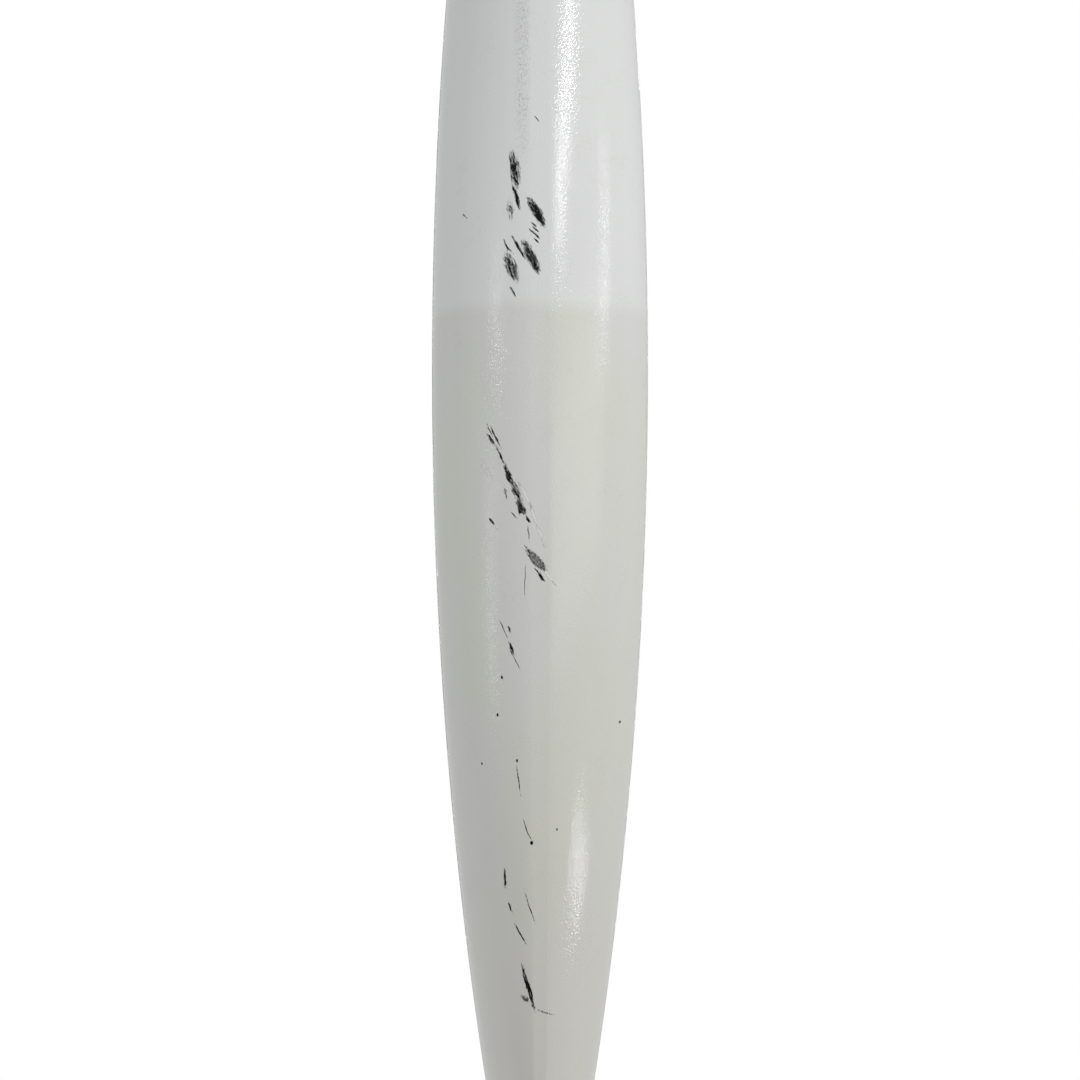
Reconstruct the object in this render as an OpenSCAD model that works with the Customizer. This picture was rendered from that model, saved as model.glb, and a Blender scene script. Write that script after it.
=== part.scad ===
// Touring sea kayak in glass-fibre laminate: hull, deck, cockpit, three hatches, drop skeg
// and deck fittings. +X points to the bow, +Y to port and +Z up. The origin lies on the
// ground below the middle of the boat. Millimetres.

/* [Hull] */
// Length overall
loa = 5200; // [5150:10:5300]
// Beam of the moulded hull at the sheer
hull_beam = 556; // [550:2:566]
// Height of the sheer amidships
mid_h = 250; // [245:1:258]
// Height of the sheer at the bow
bow_h = 400; // [390:2:410]
// Height of the sheer at the stern
stern_h = 340; // [334:2:350]
// Rise of the keel line towards the ends, without the stems
rocker = 30; // [26:1:34]
// Width of the flat along the keel amidships
keel_flat = 44; // [40:2:48]
// Thickness of the laminate
shell_t = 3; // [2.5:0.5:3.5]

/* [Cockpit] */
// Length of the cockpit opening
cockpit_len = 800; // [780:5:810]
// Middle of the cockpit opening, measured from the middle of the boat
cockpit_x = -110; // [-115:1:-105]
// Width of the lip that holds the spraydeck
lip_w = 28; // [20:1:30]

/* [Hatches] */
// Radius of the front hatch rim
front_hatch_r = 120; // [110:1:125]
// Radius of the day hatch rim
day_hatch_r = 100; // [90:1:102]
// Radius of the round ends of the rear hatch rim
rear_hatch_r = 110; // [100:1:114]
// Straight length of the rear hatch rim
rear_hatch_straight = 180; // [160:5:190]

/* [Skeg] */
// Thickness of the skeg blade
blade_t = 8; // [6:0.5:8]
// Distance from the skeg pivot to the middle of the blade's tip
blade_len = 330; // [300:5:330]

/* [Hidden] */

$fn = 64;
gap = 0.3;               // between separate pieces that only lie near each other
bed = 0.6;               // bead of sealant below the coaming and the skeg track
half = loa / 2;
tip_b = 12;              // half-breadth at the very ends
tip_d = 60;              // depth of the ends
stem_t = 0.78;           // where the stems start to rise, as a share of the half length
cavity = half - 180;     // the shell is hollow up to here, and solid beyond
bow_join = 724;          // hull and deck are each drawn in three lengths that meet at bulkheads
stern_join = -560;
girth = 14;              // facets from keel to sheer
crown_n = 10;            // facets from sheer to ridge

white = [0.86, 0.86, 0.84];
black = [0.09, 0.09, 0.10];
steel = [0.72, 0.73, 0.74];
foam = [0.16, 0.16, 0.18];
cord = [0.12, 0.12, 0.13];
resin = [0.78, 0.76, 0.66];

// ---- Lines of the boat ----

function lerp(a, b, s) = a + (b - a) * s;
function clamp01(v) = min(1, max(0, v));
function share(x) = abs(x) / half;

// Half-breadth at the sheer: a parabola along the boat.
function breadth(x) = tip_b + (hull_beam / 2 - tip_b) * (1 - pow(share(x), 2));
function end_h(x) = x > 0 ? bow_h : stern_h;
function sheer(x) = mid_h + (end_h(x) - mid_h) * pow(share(x), 2.4);
// The keel line: a little rocker, then the stem sweeping up to the tip.
function stem(x) = pow(clamp01((share(x) - stem_t) / (1 - stem_t)), 2.2);
function keel(x) = rocker * pow(share(x), 3) + (end_h(x) - rocker - tip_d) * stem(x);
function bump(x, at, wide) = exp(-pow((x - at) / wide, 2));
function crown(x) = 12 + 28 * (1 - pow(share(x), 2)) + 50 * bump(x, 350, 600);
function deck_z(x, y) = sheer(x) + crown(x) * (1 - pow(abs(y) / breadth(x), 1.8));

// Hull section: a superellipse quarter, fuller amidships and sharper at the ends.
function y_power(x) = lerp(1.25, 1.7, pow(share(x), 2));
function z_power(x) = lerp(0.83, 1.0, pow(share(x), 2));
function hull_pt(x, a, in) =
  let (b = breadth(x) - in, f = min(b / 2, keel_flat / 2 * (1 - 0.8 * pow(share(x), 2))))
  let (k = keel(x) + in)
  [x, f + (b - f) * pow(sin(a), y_power(x)), k + (sheer(x) - k) * (1 - pow(cos(a), z_power(x)))];
// The half section's points from keel to sheer, and the whole section from port to starboard.
function half_section(x, in) = [for (i = [0 : girth]) hull_pt(x, 90 * i / girth, in)];
function hull_section(x, in) =
  let (h = half_section(x, in))
  concat([for (i = [girth : -1 : 0]) h[i]], [for (i = [0 : girth]) [x, -h[i][1], h[i][2]]]);
function deck_section(x, in) =
  let (b = breadth(x) - in)
  [for (i = [-crown_n : crown_n])
    let (s = i / crown_n)
    [x, b * s, sheer(x) + (crown(x) - in) * (1 - pow(abs(s), 1.8))]];
function level_line(x, n) =
  let (b = breadth(x) - shell_t) [for (i = [0 : n]) [x, b * (1 - 2 * i / n), sheer(x)]];
function backward(v) = [for (i = [len(v) - 1 : -1 : 0]) v[i]];

function hull_ring(x) =
  concat(hull_section(x, 0),
    abs(x) <= cavity ? backward(hull_section(x, shell_t)) : backward(level_line(x, 2 * girth + 1)));
function deck_ring(x) =
  concat(deck_section(x, 0),
    abs(x) <= cavity ? backward(deck_section(x, shell_t)) : level_line(x, 2 * crown_n));

// Stations crowd towards the ends; a pair of them makes the wall of each solid end.
function station(u) = half * (1.3 * u - 0.3 * pow(u, 3));
spread = [for (i = [-22 : 22]) station(i / 22)];
stations = [
  for (x = spread) if (x < -cavity - 30) x,
  -cavity - 12, -cavity,
  for (x = spread) if (abs(x) < cavity - 20) x,
  cavity, cavity + 12,
  for (x = spread) if (x > cavity + 30) x
];
function stations_in(a, b) = concat([a], [for (x = stations) if (x > a + 5 && x < b - 5) x], [b]);

// ---- Skins ----

// Side faces between n rings of m points; a closed skin joins its last ring to its first.
function side_faces(n, m, closed) = [
  for (i = [0 : closed ? n - 1 : n - 2], j = [0 : m - 1])
    let (k = (i + 1) % n, l = (j + 1) % m)
    each [[i * m + j, i * m + l, k * m + l], [i * m + j, k * m + l, k * m + j]]
];
function fan(m, o, hub) = [for (j = [1 : m - 2]) [o + hub, o + (hub + j) % m, o + (hub + j + 1) % m]];
function strip(m, o) = [
  for (j = [0 : m / 2 - 2])
    each [[o + j, o + j + 1, o + m - 2 - j], [o + j, o + m - 2 - j, o + m - 1 - j]]
];
function flip(faces) = [for (f = faces) [f[0], f[2], f[1]]];

// A solid over a row of rings. Each end is a fan from one point, or a strip on a thin section.
module skin(rings, closed = false, hub = 0, thin = [false, false]) {
  n = len(rings);
  m = len(rings[0]);
  last = (n - 1) * m;
  head = thin[0] ? strip(m, 0) : fan(m, 0, hub);
  tail = thin[1] ? strip(m, last) : fan(m, last, hub);
  polyhedron(
    points = [for (r = rings) each r],
    faces = concat(side_faces(n, m, closed), closed ? [] : concat(flip(head), tail)));
}

// A plate that follows two height functions between the edges lo(x) and hi(x).
module plate(xs, lo, hi, top, low, n = 8) {
  skin(thin = [true, true], rings = [
    for (x = xs)
      let (ys = [for (j = [0 : n]) lerp(lo(x), hi(x), j / n)])
      concat([for (y = ys) [x, y, top(x, y)]], [for (y = backward(ys)) [x, y, low(x, y)]])
  ]);
}

function unit(v) = v / norm(v);
// A round tube along a path.
module tube(path, r, sides = 8) {
  n = len(path);
  skin([
    for (i = [0 : n - 1])
      let (t = unit(path[min(n - 1, i + 1)] - path[max(0, i - 1)]))
      let (u = unit(cross(t, [0, 0, 1])), v = cross(u, t))
      [for (j = [0 : sides - 1])
        let (a = 360 * j / sides) path[i] + r * (cos(a) * u + sin(a) * v)]
  ]);
}

function steps(a, b, n) = [for (i = [0 : n]) lerp(a, b, i / n)];

// ---- Places on the deck ----

function slope_x(x, y) = (deck_z(x + 1, y) - deck_z(x - 1, y)) / 2;
function slope_y(x, y) = (deck_z(x, y + 1) - deck_z(x, y - 1)) / 2;
function deck_tilt(x, y) =
  let (pitch = -atan(slope_x(x, y))) [atan(slope_y(x, y) * cos(pitch)), pitch, 0];
function over_deck(x, y, h) =
  [x, y, deck_z(x, y)] + h * unit([-slope_x(x, y), -slope_y(x, y), 1]);
module on_deck(x, y) {
  translate([x, y, deck_z(x, y)]) rotate(deck_tilt(x, y)) children();
}
// Puts a flat outline drawn in Y and Z at x, with its thickness towards the bow.
module across(x, t) {
  translate([x, 0, 0]) rotate([90, 0, 90]) linear_extrude(t) children();
}
// Puts a flat outline drawn in X and Z at y, with its thickness centred there.
module along(y, t) {
  translate([0, y, 0]) rotate([90, 0, 0]) linear_extrude(t, center = true) children();
}
module port_starboard() {
  children();
  mirror([0, 1, 0]) children();
}

// ---- Cockpit rim ----

rim_w = 185;             // half-width of the opening at its middle
rim_taper = 45;          // how much narrower it is in front, and wider behind
rim_wall = 5;
rim_steps = 72;
rim_front = cockpit_x + cockpit_len / 2;
rim_back = cockpit_x - cockpit_len / 2;
function rim_half(c) =
  (rim_w - rim_taper * c) * pow(max(0, 1 - c * c), 0.425);
function rim_pt(a) =
  [cockpit_x + cockpit_len / 2 * cos(a), sign(sin(a)) * rim_half(cos(a))];
function rim_out(a, off) =
  let (t = unit(rim_pt(a + 1) - rim_pt(a - 1))) rim_pt(a) + off * [t[1], -t[0]];
function rim_y(x) = rim_half((x - cockpit_x) / (cockpit_len / 2));
rim_back_z = deck_z(rim_back, 0) + 26;
rim_front_z = deck_z(rim_front, 0) + 26;
function rim_z(x) = lerp(rim_back_z, rim_front_z, (x - rim_back) / cockpit_len);

// ---- Hatches ----

front_hatch_x = 1250;
day_hatch_x = -770;
rear_hatch_x = -1400;
hatch_wall = 6;
hatch_up = 14;           // height of a rim over the ridge of the deck
hatch_down = 30;         // depth of a rim below the ridge
hatch_lip = 7;           // how far the lip at the top of a rim stands out
lip_h = 5;
cover_t = 4;
cover_play = 0.5;

// ---- Skeg ----

skeg_x = -1600;
skeg_z = keel(skeg_x) + 54;
head_r = 50;
tail_r = 22;
box_front = skeg_x + head_r + 4;
box_back = skeg_x - blade_len - tail_r - 6;
box_wall = 3;
box_in = blade_t + 4;
box_top = skeg_z + head_r + 8;
pin_r = 4;
run_fit = 0.05;          // radial play of a pin in the part that turns on it

track_x = 20;
track_y = -228;
track_len = 240;
track_w = 26;
track_t = 4;
slot_len = 190;
slot_w = 8;
slider_rest = -70;       // the slider's place along the track with the skeg up

// Route of the skeg cable in its housing, from the track down to the top of the skeg box.
cable_r = 4;
cable_route = [
  [60, -214, 256], [20, -218, 248], [-60, -222, 240], [-200, -222, 236], [-360, -218, 234],
  [-460, -208, 232], [-560, -203, 232], [-700, -196, 232], [-860, -184, 232],
  [-1016, -168, 230], [-1120, -146, 224], [-1240, -112, 212], [-1360, -70, 194],
  [-1460, -32, 170], [-1530, -8, 148], [-1580, 0, 134]
];
cable_holes = [[-560, -203, 232], [-1016, -168, 230]];

// ---- Deck fittings ----

eye_r = 20;
eye_h = 4;
eye_ring = 12;
eye_wire = 2.5;
line_h = 7.7;            // height of a line's middle over the deck inside an eye
line_r = 3;
fore_eyes = [400, 800, 1250, 1700, 2150];
aft_eyes = [-620, -1100, -1600, -2100];
function edge_y(x) = breadth(x) - 40;
bungee_r = 3;
fore_bungee_x = [560, 900];
function fore_bungee_y(x) = breadth(x) - 80;
aft_bungee_x = [-590, -950];
aft_bungee_y = 150;

toggle_x = half - 100;
toggle_r = 4;
toggle_leg = 56;
grip_x = half - 175;
grip_r = 11;
grip_len = 132;
function toggle_z(s) = sheer(s * toggle_x) - 36;
function grip_z(s) = deck_z(s * grip_x, 0) + grip_r + 3.5;
end_tube_r = 6.5;
lock_x = -half + 140;
lock_z = sheer(lock_x) - 72;
lock_r = 7;
lock_wall = 2;
lock_len = 60;

// ---- Cockpit furniture ----

seat_back = -470;
seat_front = -130;
seat_w = 184;
seat_t = 5;
cheek_y = 185.5;
cheek_t = 5;
bolt_r = 3;
seat_bolt_x = [-390, -230];
seat_bolt_z = 110;
band_x = -230;
band_z = 244;
strap_t = 3;
strap_y = cheek_y - 12;
rail_x = 510;
rail_y = 203;
rail_len = 360;
rail_t = 4;
rail_h = 24;
rail_z = 117;
rail_turn = -2.3;
rail_play = 0.35;

function seat_top(x, y) =
  let (u = (x - seat_back) / (seat_front - seat_back))
  35 + 65 * pow(abs(y) / seat_w, 3) + 18 * u * u + 26 * pow(1 - u, 4);

// ---- Shell ----

module end_bore(s, r) {
  translate([s * toggle_x, 0, toggle_z(s)]) rotate([90, 0, 0]) cylinder(r = r, h = 160, center = true);
}
module lock_bore(r, h) {
  translate([lock_x, 0, lock_z]) rotate([90, 0, 0]) cylinder(r = r, h = h, center = true);
}
module hull_length(from, to) {
  color(white) difference() {
    skin([for (x = stations_in(from, to)) hull_ring(x)], hub = girth, thin = [from > -half, to < half]);
    if (from < skeg_x)
      translate([box_back - 2, -box_in / 2, -5]) cube([box_front - box_back + 4, box_in, 50]);
    if (to == half) end_bore(1, end_tube_r + run_fit);
    if (from == -half) end_bore(-1, end_tube_r + run_fit);
    if (from == -half) lock_bore(lock_r + lock_wall + run_fit, 200);
  }
}
module hull_bow() { hull_length(bow_join, half); }
module hull_middle() { hull_length(stern_join, bow_join); }
module hull_stern() { hull_length(-half, stern_join); }
module deck_length(from, to) {
  color(white) difference() {
    skin([for (x = stations_in(from, to)) deck_ring(x)], hub = crown_n, thin = [from > -half, to < half]);
    if (from == stern_join)
      linear_extrude(500) polygon([for (i = [0 : rim_steps - 1]) rim_out(360 * i / rim_steps, 1)]);
    if (to == half) on_deck(front_hatch_x, 0) rim_solid(front_hatch_r + gap, 0, -60, 60);
    if (from == -half) on_deck(day_hatch_x, 0) rim_solid(day_hatch_r + gap, 0, -60, 60);
    if (from == -half) on_deck(rear_hatch_x, 0) rim_solid(rear_hatch_r + gap, rear_hatch_straight, -60, 60);
  }
}
module deck_bow() { deck_length(bow_join, half); }
module deck_middle() { deck_length(stern_join, bow_join); }
module deck_stern() { deck_length(-half, stern_join); }
// The outer tape over the joint of hull and deck.
module seam_band() {
  in = 0.2;
  out = 2;
  xs = [-half + 10, for (x = stations) if (abs(x) < half - 20) x, half - 10];
  color(white) port_starboard() skin([
    for (x = xs)
      let (b = breadth(x), z = sheer(x))
      [[x, b + in, z + 2], [x, b + out, z + 2], [x, b + out, z - 18], [x, b + in, z - 18]]
  ]);
}
// Part of the coaming, between two steps round the cockpit.
module coaming_part(from, to) {
  lip_t = 5;
  color(black) skin(hub = 3, rings = [
    for (i = [from : to])
      let (a = 360 * i / rim_steps)
      let (p = rim_pt(a), q = rim_out(a, rim_wall), r = rim_out(a, rim_wall + lip_w))
      [
        [p[0], p[1], rim_z(p[0]) + lip_t],
        [p[0], p[1], deck_z(p[0], p[1]) + bed],
        [q[0], q[1], deck_z(q[0], q[1]) + bed],
        [q[0], q[1], rim_z(q[0])],
        [r[0], r[1], rim_z(r[0])],
        [r[0], r[1], rim_z(r[0]) + lip_t]
      ]
  ]);
}
module coaming_fore() { coaming_part(-rim_steps / 4, rim_steps / 4); }
module coaming_aft() { coaming_part(rim_steps / 4, 3 * rim_steps / 4); }
// A wall across the inside of the boat, cut to its narrower face.
module bulkhead(x, narrow) {
  t = 8;
  in = shell_t + 1.2;
  outline = concat(hull_section(narrow, in), deck_section(narrow, in));
  color(resin) difference() {
    across(x - t / 2, t) polygon([for (p = outline) [p[1], p[2]]]);
    for (h = cable_holes)
      if (abs(h[0] - x) < 10)
        translate([x, h[1], h[2]]) rotate([0, 90, 0]) cylinder(r = cable_r + 2, h = 30, center = true);
  }
}
module bulkhead_front() { bulkhead(724, 728); }
module bulkhead_rear() { bulkhead(-560, -564); }
module bulkhead_day() { bulkhead(-1016, -1020); }

// ---- Seat, braces and backband ----

module side_bolts(xs, z, from, to, r) {
  for (x = xs) translate([x, from, z]) rotate([-90, 0, 0]) cylinder(r = r, h = to - from);
}
module seat() {
  color(black) difference() {
    union() {
      plate(steps(seat_back, seat_front, 12), function(x) -seat_w, function(x) seat_w,
        function(x, y) seat_top(x, y), function(x, y) seat_top(x, y) - seat_t, 16);
      port_starboard() translate([-420, seat_w - 6, 96]) cube([220, 6, 30]);
    }
    port_starboard() side_bolts(seat_bolt_x, seat_bolt_z, 160, 200, bolt_r + 0.1);
  }
}
module seat_pad() {
  w = 150;
  color(foam) plate(steps(-440, -150, 8), function(x) -w, function(x) w,
    function(x, y) seat_top(x, y) + 13 - 8 * pow(abs(y) / w, 6), function(x, y) seat_top(x, y) + 1, 10);
}
module seat_cheek() {
  color(black) difference() {
    along(cheek_y + cheek_t / 2, cheek_t)
      polygon([[-430, 96], [-190, 96], [-170, 150], [-180, 258], [-300, 266], [-420, 262], [-446, 180]]);
    side_bolts(seat_bolt_x, seat_bolt_z, 160, 200, bolt_r + 0.1);
    side_bolts([band_x], band_z, 160, 200, bolt_r + 0.1);
  }
}
module seat_cheek_left() { seat_cheek(); }
module seat_cheek_right() { mirror([0, 1, 0]) seat_cheek(); }
module bolt(x, z, from, to) {
  side_bolts([x], z, from, to, bolt_r);
  side_bolts([x], z, to, to + 4, bolt_r * 1.8);
}
module seat_bolts() {
  color(steel) port_starboard() for (x = seat_bolt_x)
    bolt(x, seat_bolt_z, seat_w - 12, cheek_y + cheek_t + 0.1);
}
module hip_pad() {
  color(foam) translate([-380, 166, 128]) cube([160, 19, 66]);
}
module hip_pad_left() { hip_pad(); }
module hip_pad_right() { mirror([0, 1, 0]) hip_pad(); }
module thigh_brace() {
  color(black) plate(steps(-20, 190, 8),
    function(x) rim_y(x) - 18, function(x) rim_y(x) + 58,
    function(x, y) deck_z(x, y) - shell_t - 1.5, function(x, y) deck_z(x, y) - shell_t - 12.5, 6);
}
module thigh_brace_left() { thigh_brace(); }
module thigh_brace_right() { mirror([0, 1, 0]) thigh_brace(); }
// The band is a curved pad; flat straps run forward from its ends to the pivots.
module backband() {
  r_in = 480;
  r_out = 504;
  reach = 17.5;
  color(foam) translate([45, 0, 130]) linear_extrude(120) difference() {
    intersection() {
      circle(r = r_out, $fn = 180);
      polygon([[0, 0], 700 * [-cos(reach), sin(reach)], [-700, 0], 700 * [-cos(reach), -sin(reach)]]);
    }
    circle(r = r_in, $fn = 180);
  }
}
module backband_straps() {
  back_x = 45 - 492 * cos(17.5);
  color(black) port_starboard() difference() {
    along(strap_y + strap_t / 2, strap_t) union() {
      translate([band_x, band_z]) circle(r = 12);
      polygon([[band_x, band_z + 12], [back_x, 238], [back_x, 214], [band_x, band_z - 12]]);
    }
    side_bolts([band_x], band_z, 160, 200, bolt_r + run_fit);
  }
}
module backband_bolts() {
  color(steel) port_starboard() bolt(band_x, band_z, strap_y - 2, cheek_y + cheek_t + 0.1);
}

// ---- Footrests ----

module on_rail() {
  translate([rail_x, rail_y, rail_z]) rotate([0, 0, rail_turn]) children();
}
module footrest_rail() {
  color(steel) on_rail() translate([0, rail_t / 2, 0]) cube([rail_len, rail_t, rail_h], center = true);
}
module footrest_rail_left() { footrest_rail(); }
module footrest_rail_right() { mirror([0, 1, 0]) footrest_rail(); }
module footrest_studs() {
  color(steel) port_starboard() on_rail() for (x = [-170, 170])
    translate([x, rail_t + 0.02, 0]) rotate([-90, 0, 0]) cylinder(r = 4, h = 7);
}
// The pedal's block wraps the rail; its plate faces the paddler.
module footrest_pedal() {
  block_l = 46;
  lip = 4;
  color(black) on_rail() difference() {
    union() {
      translate([-block_l / 2, -lip - rail_play, -rail_h / 2 - lip])
        cube([block_l, lip + rail_play + rail_t + rail_play + 3, rail_h + 2 * lip]);
      translate([-block_l / 2, -90, -22]) cube([10, 87, 92]);
      translate([-block_l / 2, -16, -12]) cube([block_l, 13, 24]);
    }
    translate([-block_l, -rail_play, -rail_h / 2 - rail_play])
      cube([2 * block_l, rail_t + 2 * rail_play, rail_h + 2 * rail_play]);
    translate([-block_l, 0, -rail_h / 2 + 4]) cube([2 * block_l, 30, rail_h - 8]);
  }
}
module footrest_pedal_left() { footrest_pedal(); }
module footrest_pedal_right() { mirror([0, 1, 0]) footrest_pedal(); }

// ---- Hatch rims and covers ----

// A round-ended block from height a to b, or a plain disc where long is 0.
module rim_solid(r, long, a, b) {
  translate([0, 0, a]) {
    for (s = long > 0 ? [-1, 1] : [0]) translate([s * long / 2, 0, 0]) cylinder(r = r, h = b - a, $fn = 96);
    if (long > 0) translate([-long / 2, -r, 0]) cube([long, 2 * r, b - a]);
  }
}
module hatch_rim(x, r, long) {
  color(black) on_deck(x, 0) difference() {
    union() {
      rim_solid(r, long, -hatch_down, hatch_up);
      rim_solid(r + hatch_lip, long, hatch_up - lip_h, hatch_up);
    }
    rim_solid(r - hatch_wall, long, -hatch_down - 1, hatch_up + 1);
  }
}
module hatch_cover(x, r, long) {
  in = r + hatch_lip + cover_play;
  top = hatch_up + gap;
  color(black) on_deck(x, 0) difference() {
    rim_solid(in + cover_t, long, 4, top + cover_t);
    rim_solid(in, long, 3, top);
  }
}
module front_hatch_rim() { hatch_rim(front_hatch_x, front_hatch_r, 0); }
module day_hatch_rim() { hatch_rim(day_hatch_x, day_hatch_r, 0); }
module rear_hatch_rim() { hatch_rim(rear_hatch_x, rear_hatch_r, rear_hatch_straight); }
module front_hatch_cover() { hatch_cover(front_hatch_x, front_hatch_r, 0); }
module day_hatch_cover() { hatch_cover(day_hatch_x, day_hatch_r, 0); }
module rear_hatch_cover() { hatch_cover(rear_hatch_x, rear_hatch_r, rear_hatch_straight); }

// ---- Skeg and its control ----

module skeg_pin(r, h) {
  translate([skeg_x, 0, skeg_z]) rotate([90, 0, 0]) cylinder(r = r, h = h, center = true);
}
module skeg_box() {
  foot = shell_t + gap;
  color(white) difference() {
    along(0, box_in + 2 * box_wall) polygon([
      [box_back - box_wall, keel(box_back) + foot], [box_front + box_wall, keel(box_front) + foot],
      [box_front + box_wall, box_top + box_wall], [box_back - box_wall, box_top + box_wall]]);
    along(0, box_in) polygon([
      [box_back, 0], [box_front, 0], [box_front, box_top], [box_back, box_top]]);
    skeg_pin(pin_r + 0.02, 60);
  }
}
module skeg_blade() {
  tail_x = skeg_x - blade_len;
  color(black) difference() {
    along(0, blade_t) hull() {
      translate([skeg_x, skeg_z]) circle(r = head_r, $fn = 96);
      translate([tail_x, keel(tail_x) + tail_r + 3]) circle(r = tail_r);
    }
    skeg_pin(pin_r + run_fit, 60);
  }
}
module skeg_pivot_pin() {
  color(steel) skeg_pin(pin_r, box_in + 2 * box_wall + 4);
}
module slot(l, w, a, b) {
  translate([0, 0, a]) linear_extrude(b - a) union() {
    square([l - w, w], center = true);
    for (s = [-1, 1]) translate([s * (l - w) / 2, 0]) circle(d = w);
  }
}
module skeg_track() {
  color(black) on_deck(track_x, track_y) difference() {
    slot(track_len, track_w, bed, bed + track_t);
    slot(slot_len, slot_w, -1, track_t + 2);
  }
}
module skeg_slider() {
  top = bed + track_t + gap;
  color(steel) on_deck(track_x, track_y) translate([slider_rest, 0, 0]) {
    translate([-12, -slot_w / 2 + gap, 1]) cube([24, slot_w - 2 * gap, top]);
    slot(38, 18, top, top + 9);
  }
}
module skeg_cable() {
  color(cord) tube(cable_route, cable_r);
}

// ---- Deck eyes, lines and bungees ----

// Place and turn of every eye on the port side.
eye_list = [
  for (x = concat(fore_eyes, aft_eyes)) [x, edge_y(x), 0],
  for (i = [0, 1])
    let (x = fore_bungee_x[i], o = fore_bungee_x[1 - i])
    [x, fore_bungee_y(x), atan2(-fore_bungee_y(o) - fore_bungee_y(x), o - x)],
  for (x = aft_bungee_x) [x, aft_bungee_y, 90]
];
module at_eyes() {
  for (e = eye_list) on_deck(e[0], e[1]) rotate([0, 0, e[2]]) children();
}
module deck_eyes_left() {
  color(black) at_eyes() {
    translate([0, 0, gap]) cylinder(r = eye_r, h = eye_h);
    translate([0, 0, 2]) rotate([90, 0, 90]) rotate_extrude(angle = 180)
      translate([eye_ring, 0]) circle(r = eye_wire, $fn = 24);
  }
}
module deck_eyes_right() { mirror([0, 1, 0]) deck_eyes_left(); }
module eye_screws() {
  color(steel) port_starboard() at_eyes() for (s = [-1, 1])
    translate([s * 11, s * 9, gap + eye_h + 0.02]) cylinder(r = 3, h = 1.6, $fn = 24);
}
module deck_line(xs) {
  first = xs[0];
  last = xs[len(xs) - 1];
  over = 12;
  side = sign(last - first);
  color(cord) tube([
    over_deck(first - side * over, edge_y(first), line_h),
    for (x = xs) over_deck(x, edge_y(x), line_h),
    over_deck(last + side * over, edge_y(last), line_h)
  ], line_r);
}
module deck_line_fore_left() { deck_line(fore_eyes); }
module deck_line_fore_right() { mirror([0, 1, 0]) deck_line(fore_eyes); }
module deck_line_aft_left() { deck_line(aft_eyes); }
module deck_line_aft_right() { mirror([0, 1, 0]) deck_line(aft_eyes); }
// A shock cord drawn across the deck, lifted in the middle where it crosses another.
module bungee(a, b, lift) {
  n = 24;
  tail = 0.03;
  color(cord) tube([
    for (i = [0 : n])
      let (s = lerp(-tail, 1 + tail, i / n), x = lerp(a[0], b[0], s), y = lerp(a[1], b[1], s))
      let (h = lerp(4.4, line_h, clamp01((abs(2 * s - 1) - 0.55) / 0.25)))
      over_deck(x, y, h + lift * bump(s, 0.5, 0.08))
  ], bungee_r);
}
module fore_bungee() {
  for (s = [-1, 1])
    bungee([fore_bungee_x[0], s * fore_bungee_y(fore_bungee_x[0])],
      [fore_bungee_x[1], -s * fore_bungee_y(fore_bungee_x[1])], s > 0 ? 8 : 0);
}
module aft_bungee() {
  for (x = aft_bungee_x) bungee([x, -aft_bungee_y], [x, aft_bungee_y], 0);
}

// ---- Ends ----

// A carrying handle: its cord passes through the end of the boat and up to a cross grip.
module toggle(s) {
  a = [s * toggle_x, toggle_z(s)];
  g = [s * grip_x, grip_z(s)];
  color(black) {
    translate([a[0], 0, a[1]]) rotate([90, 0, 0]) cylinder(r = toggle_r, h = 2 * toggle_leg, center = true);
    for (y = [-toggle_leg, toggle_leg]) {
      translate([a[0], y, a[1]]) sphere(r = toggle_r);
      translate([a[0], y, a[1]]) rotate([0, atan2(g[0] - a[0], g[1] - a[1]), 0])
        cylinder(r = toggle_r, h = norm(g - a));
    }
    translate([g[0], 0, g[1]]) rotate([90, 0, 0]) cylinder(r = grip_r, h = grip_len, center = true);
  }
}
module bow_toggle() { toggle(1); }
module stern_toggle() { toggle(-1); }
module end_tubes() {
  color(black) for (s = [-1, 1]) difference() {
    translate([s * toggle_x, 0, toggle_z(s)]) rotate([90, 0, 0])
      cylinder(r = end_tube_r, h = 2 * breadth(toggle_x) - 4, center = true);
    end_bore(s, toggle_r + run_fit);
  }
}
module lock_tube() {
  color(steel) difference() {
    lock_bore(lock_r + lock_wall, lock_len);
    lock_bore(lock_r, lock_len + 2);
  }
}

hull_bow();
hull_middle();
hull_stern();
deck_bow();
deck_middle();
deck_stern();
seam_band();
coaming_fore();
coaming_aft();
bulkhead_front();
bulkhead_rear();
bulkhead_day();
seat();
seat_pad();
seat_cheek_left();
seat_cheek_right();
seat_bolts();
hip_pad_left();
hip_pad_right();
thigh_brace_left();
thigh_brace_right();
backband();
backband_straps();
backband_bolts();
footrest_rail_left();
footrest_rail_right();
footrest_studs();
footrest_pedal_left();
footrest_pedal_right();
front_hatch_rim();
day_hatch_rim();
rear_hatch_rim();
front_hatch_cover();
day_hatch_cover();
rear_hatch_cover();
skeg_box();
skeg_blade();
skeg_pivot_pin();
skeg_track();
skeg_slider();
skeg_cable();
deck_eyes_left();
deck_eyes_right();
eye_screws();
deck_line_fore_left();
deck_line_fore_right();
deck_line_aft_left();
deck_line_aft_right();
fore_bungee();
aft_bungee();
bow_toggle();
stern_toggle();
end_tubes();
lock_tube();
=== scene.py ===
# Touring sea kayak: the looks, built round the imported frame.
# Metres; +X to the bow, +Y to port, +Z up, the keel's lowest line at z = 0.
from math import pi, radians

import bmesh
import bpy
import numpy as np
from mathutils import Matrix, Vector


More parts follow.
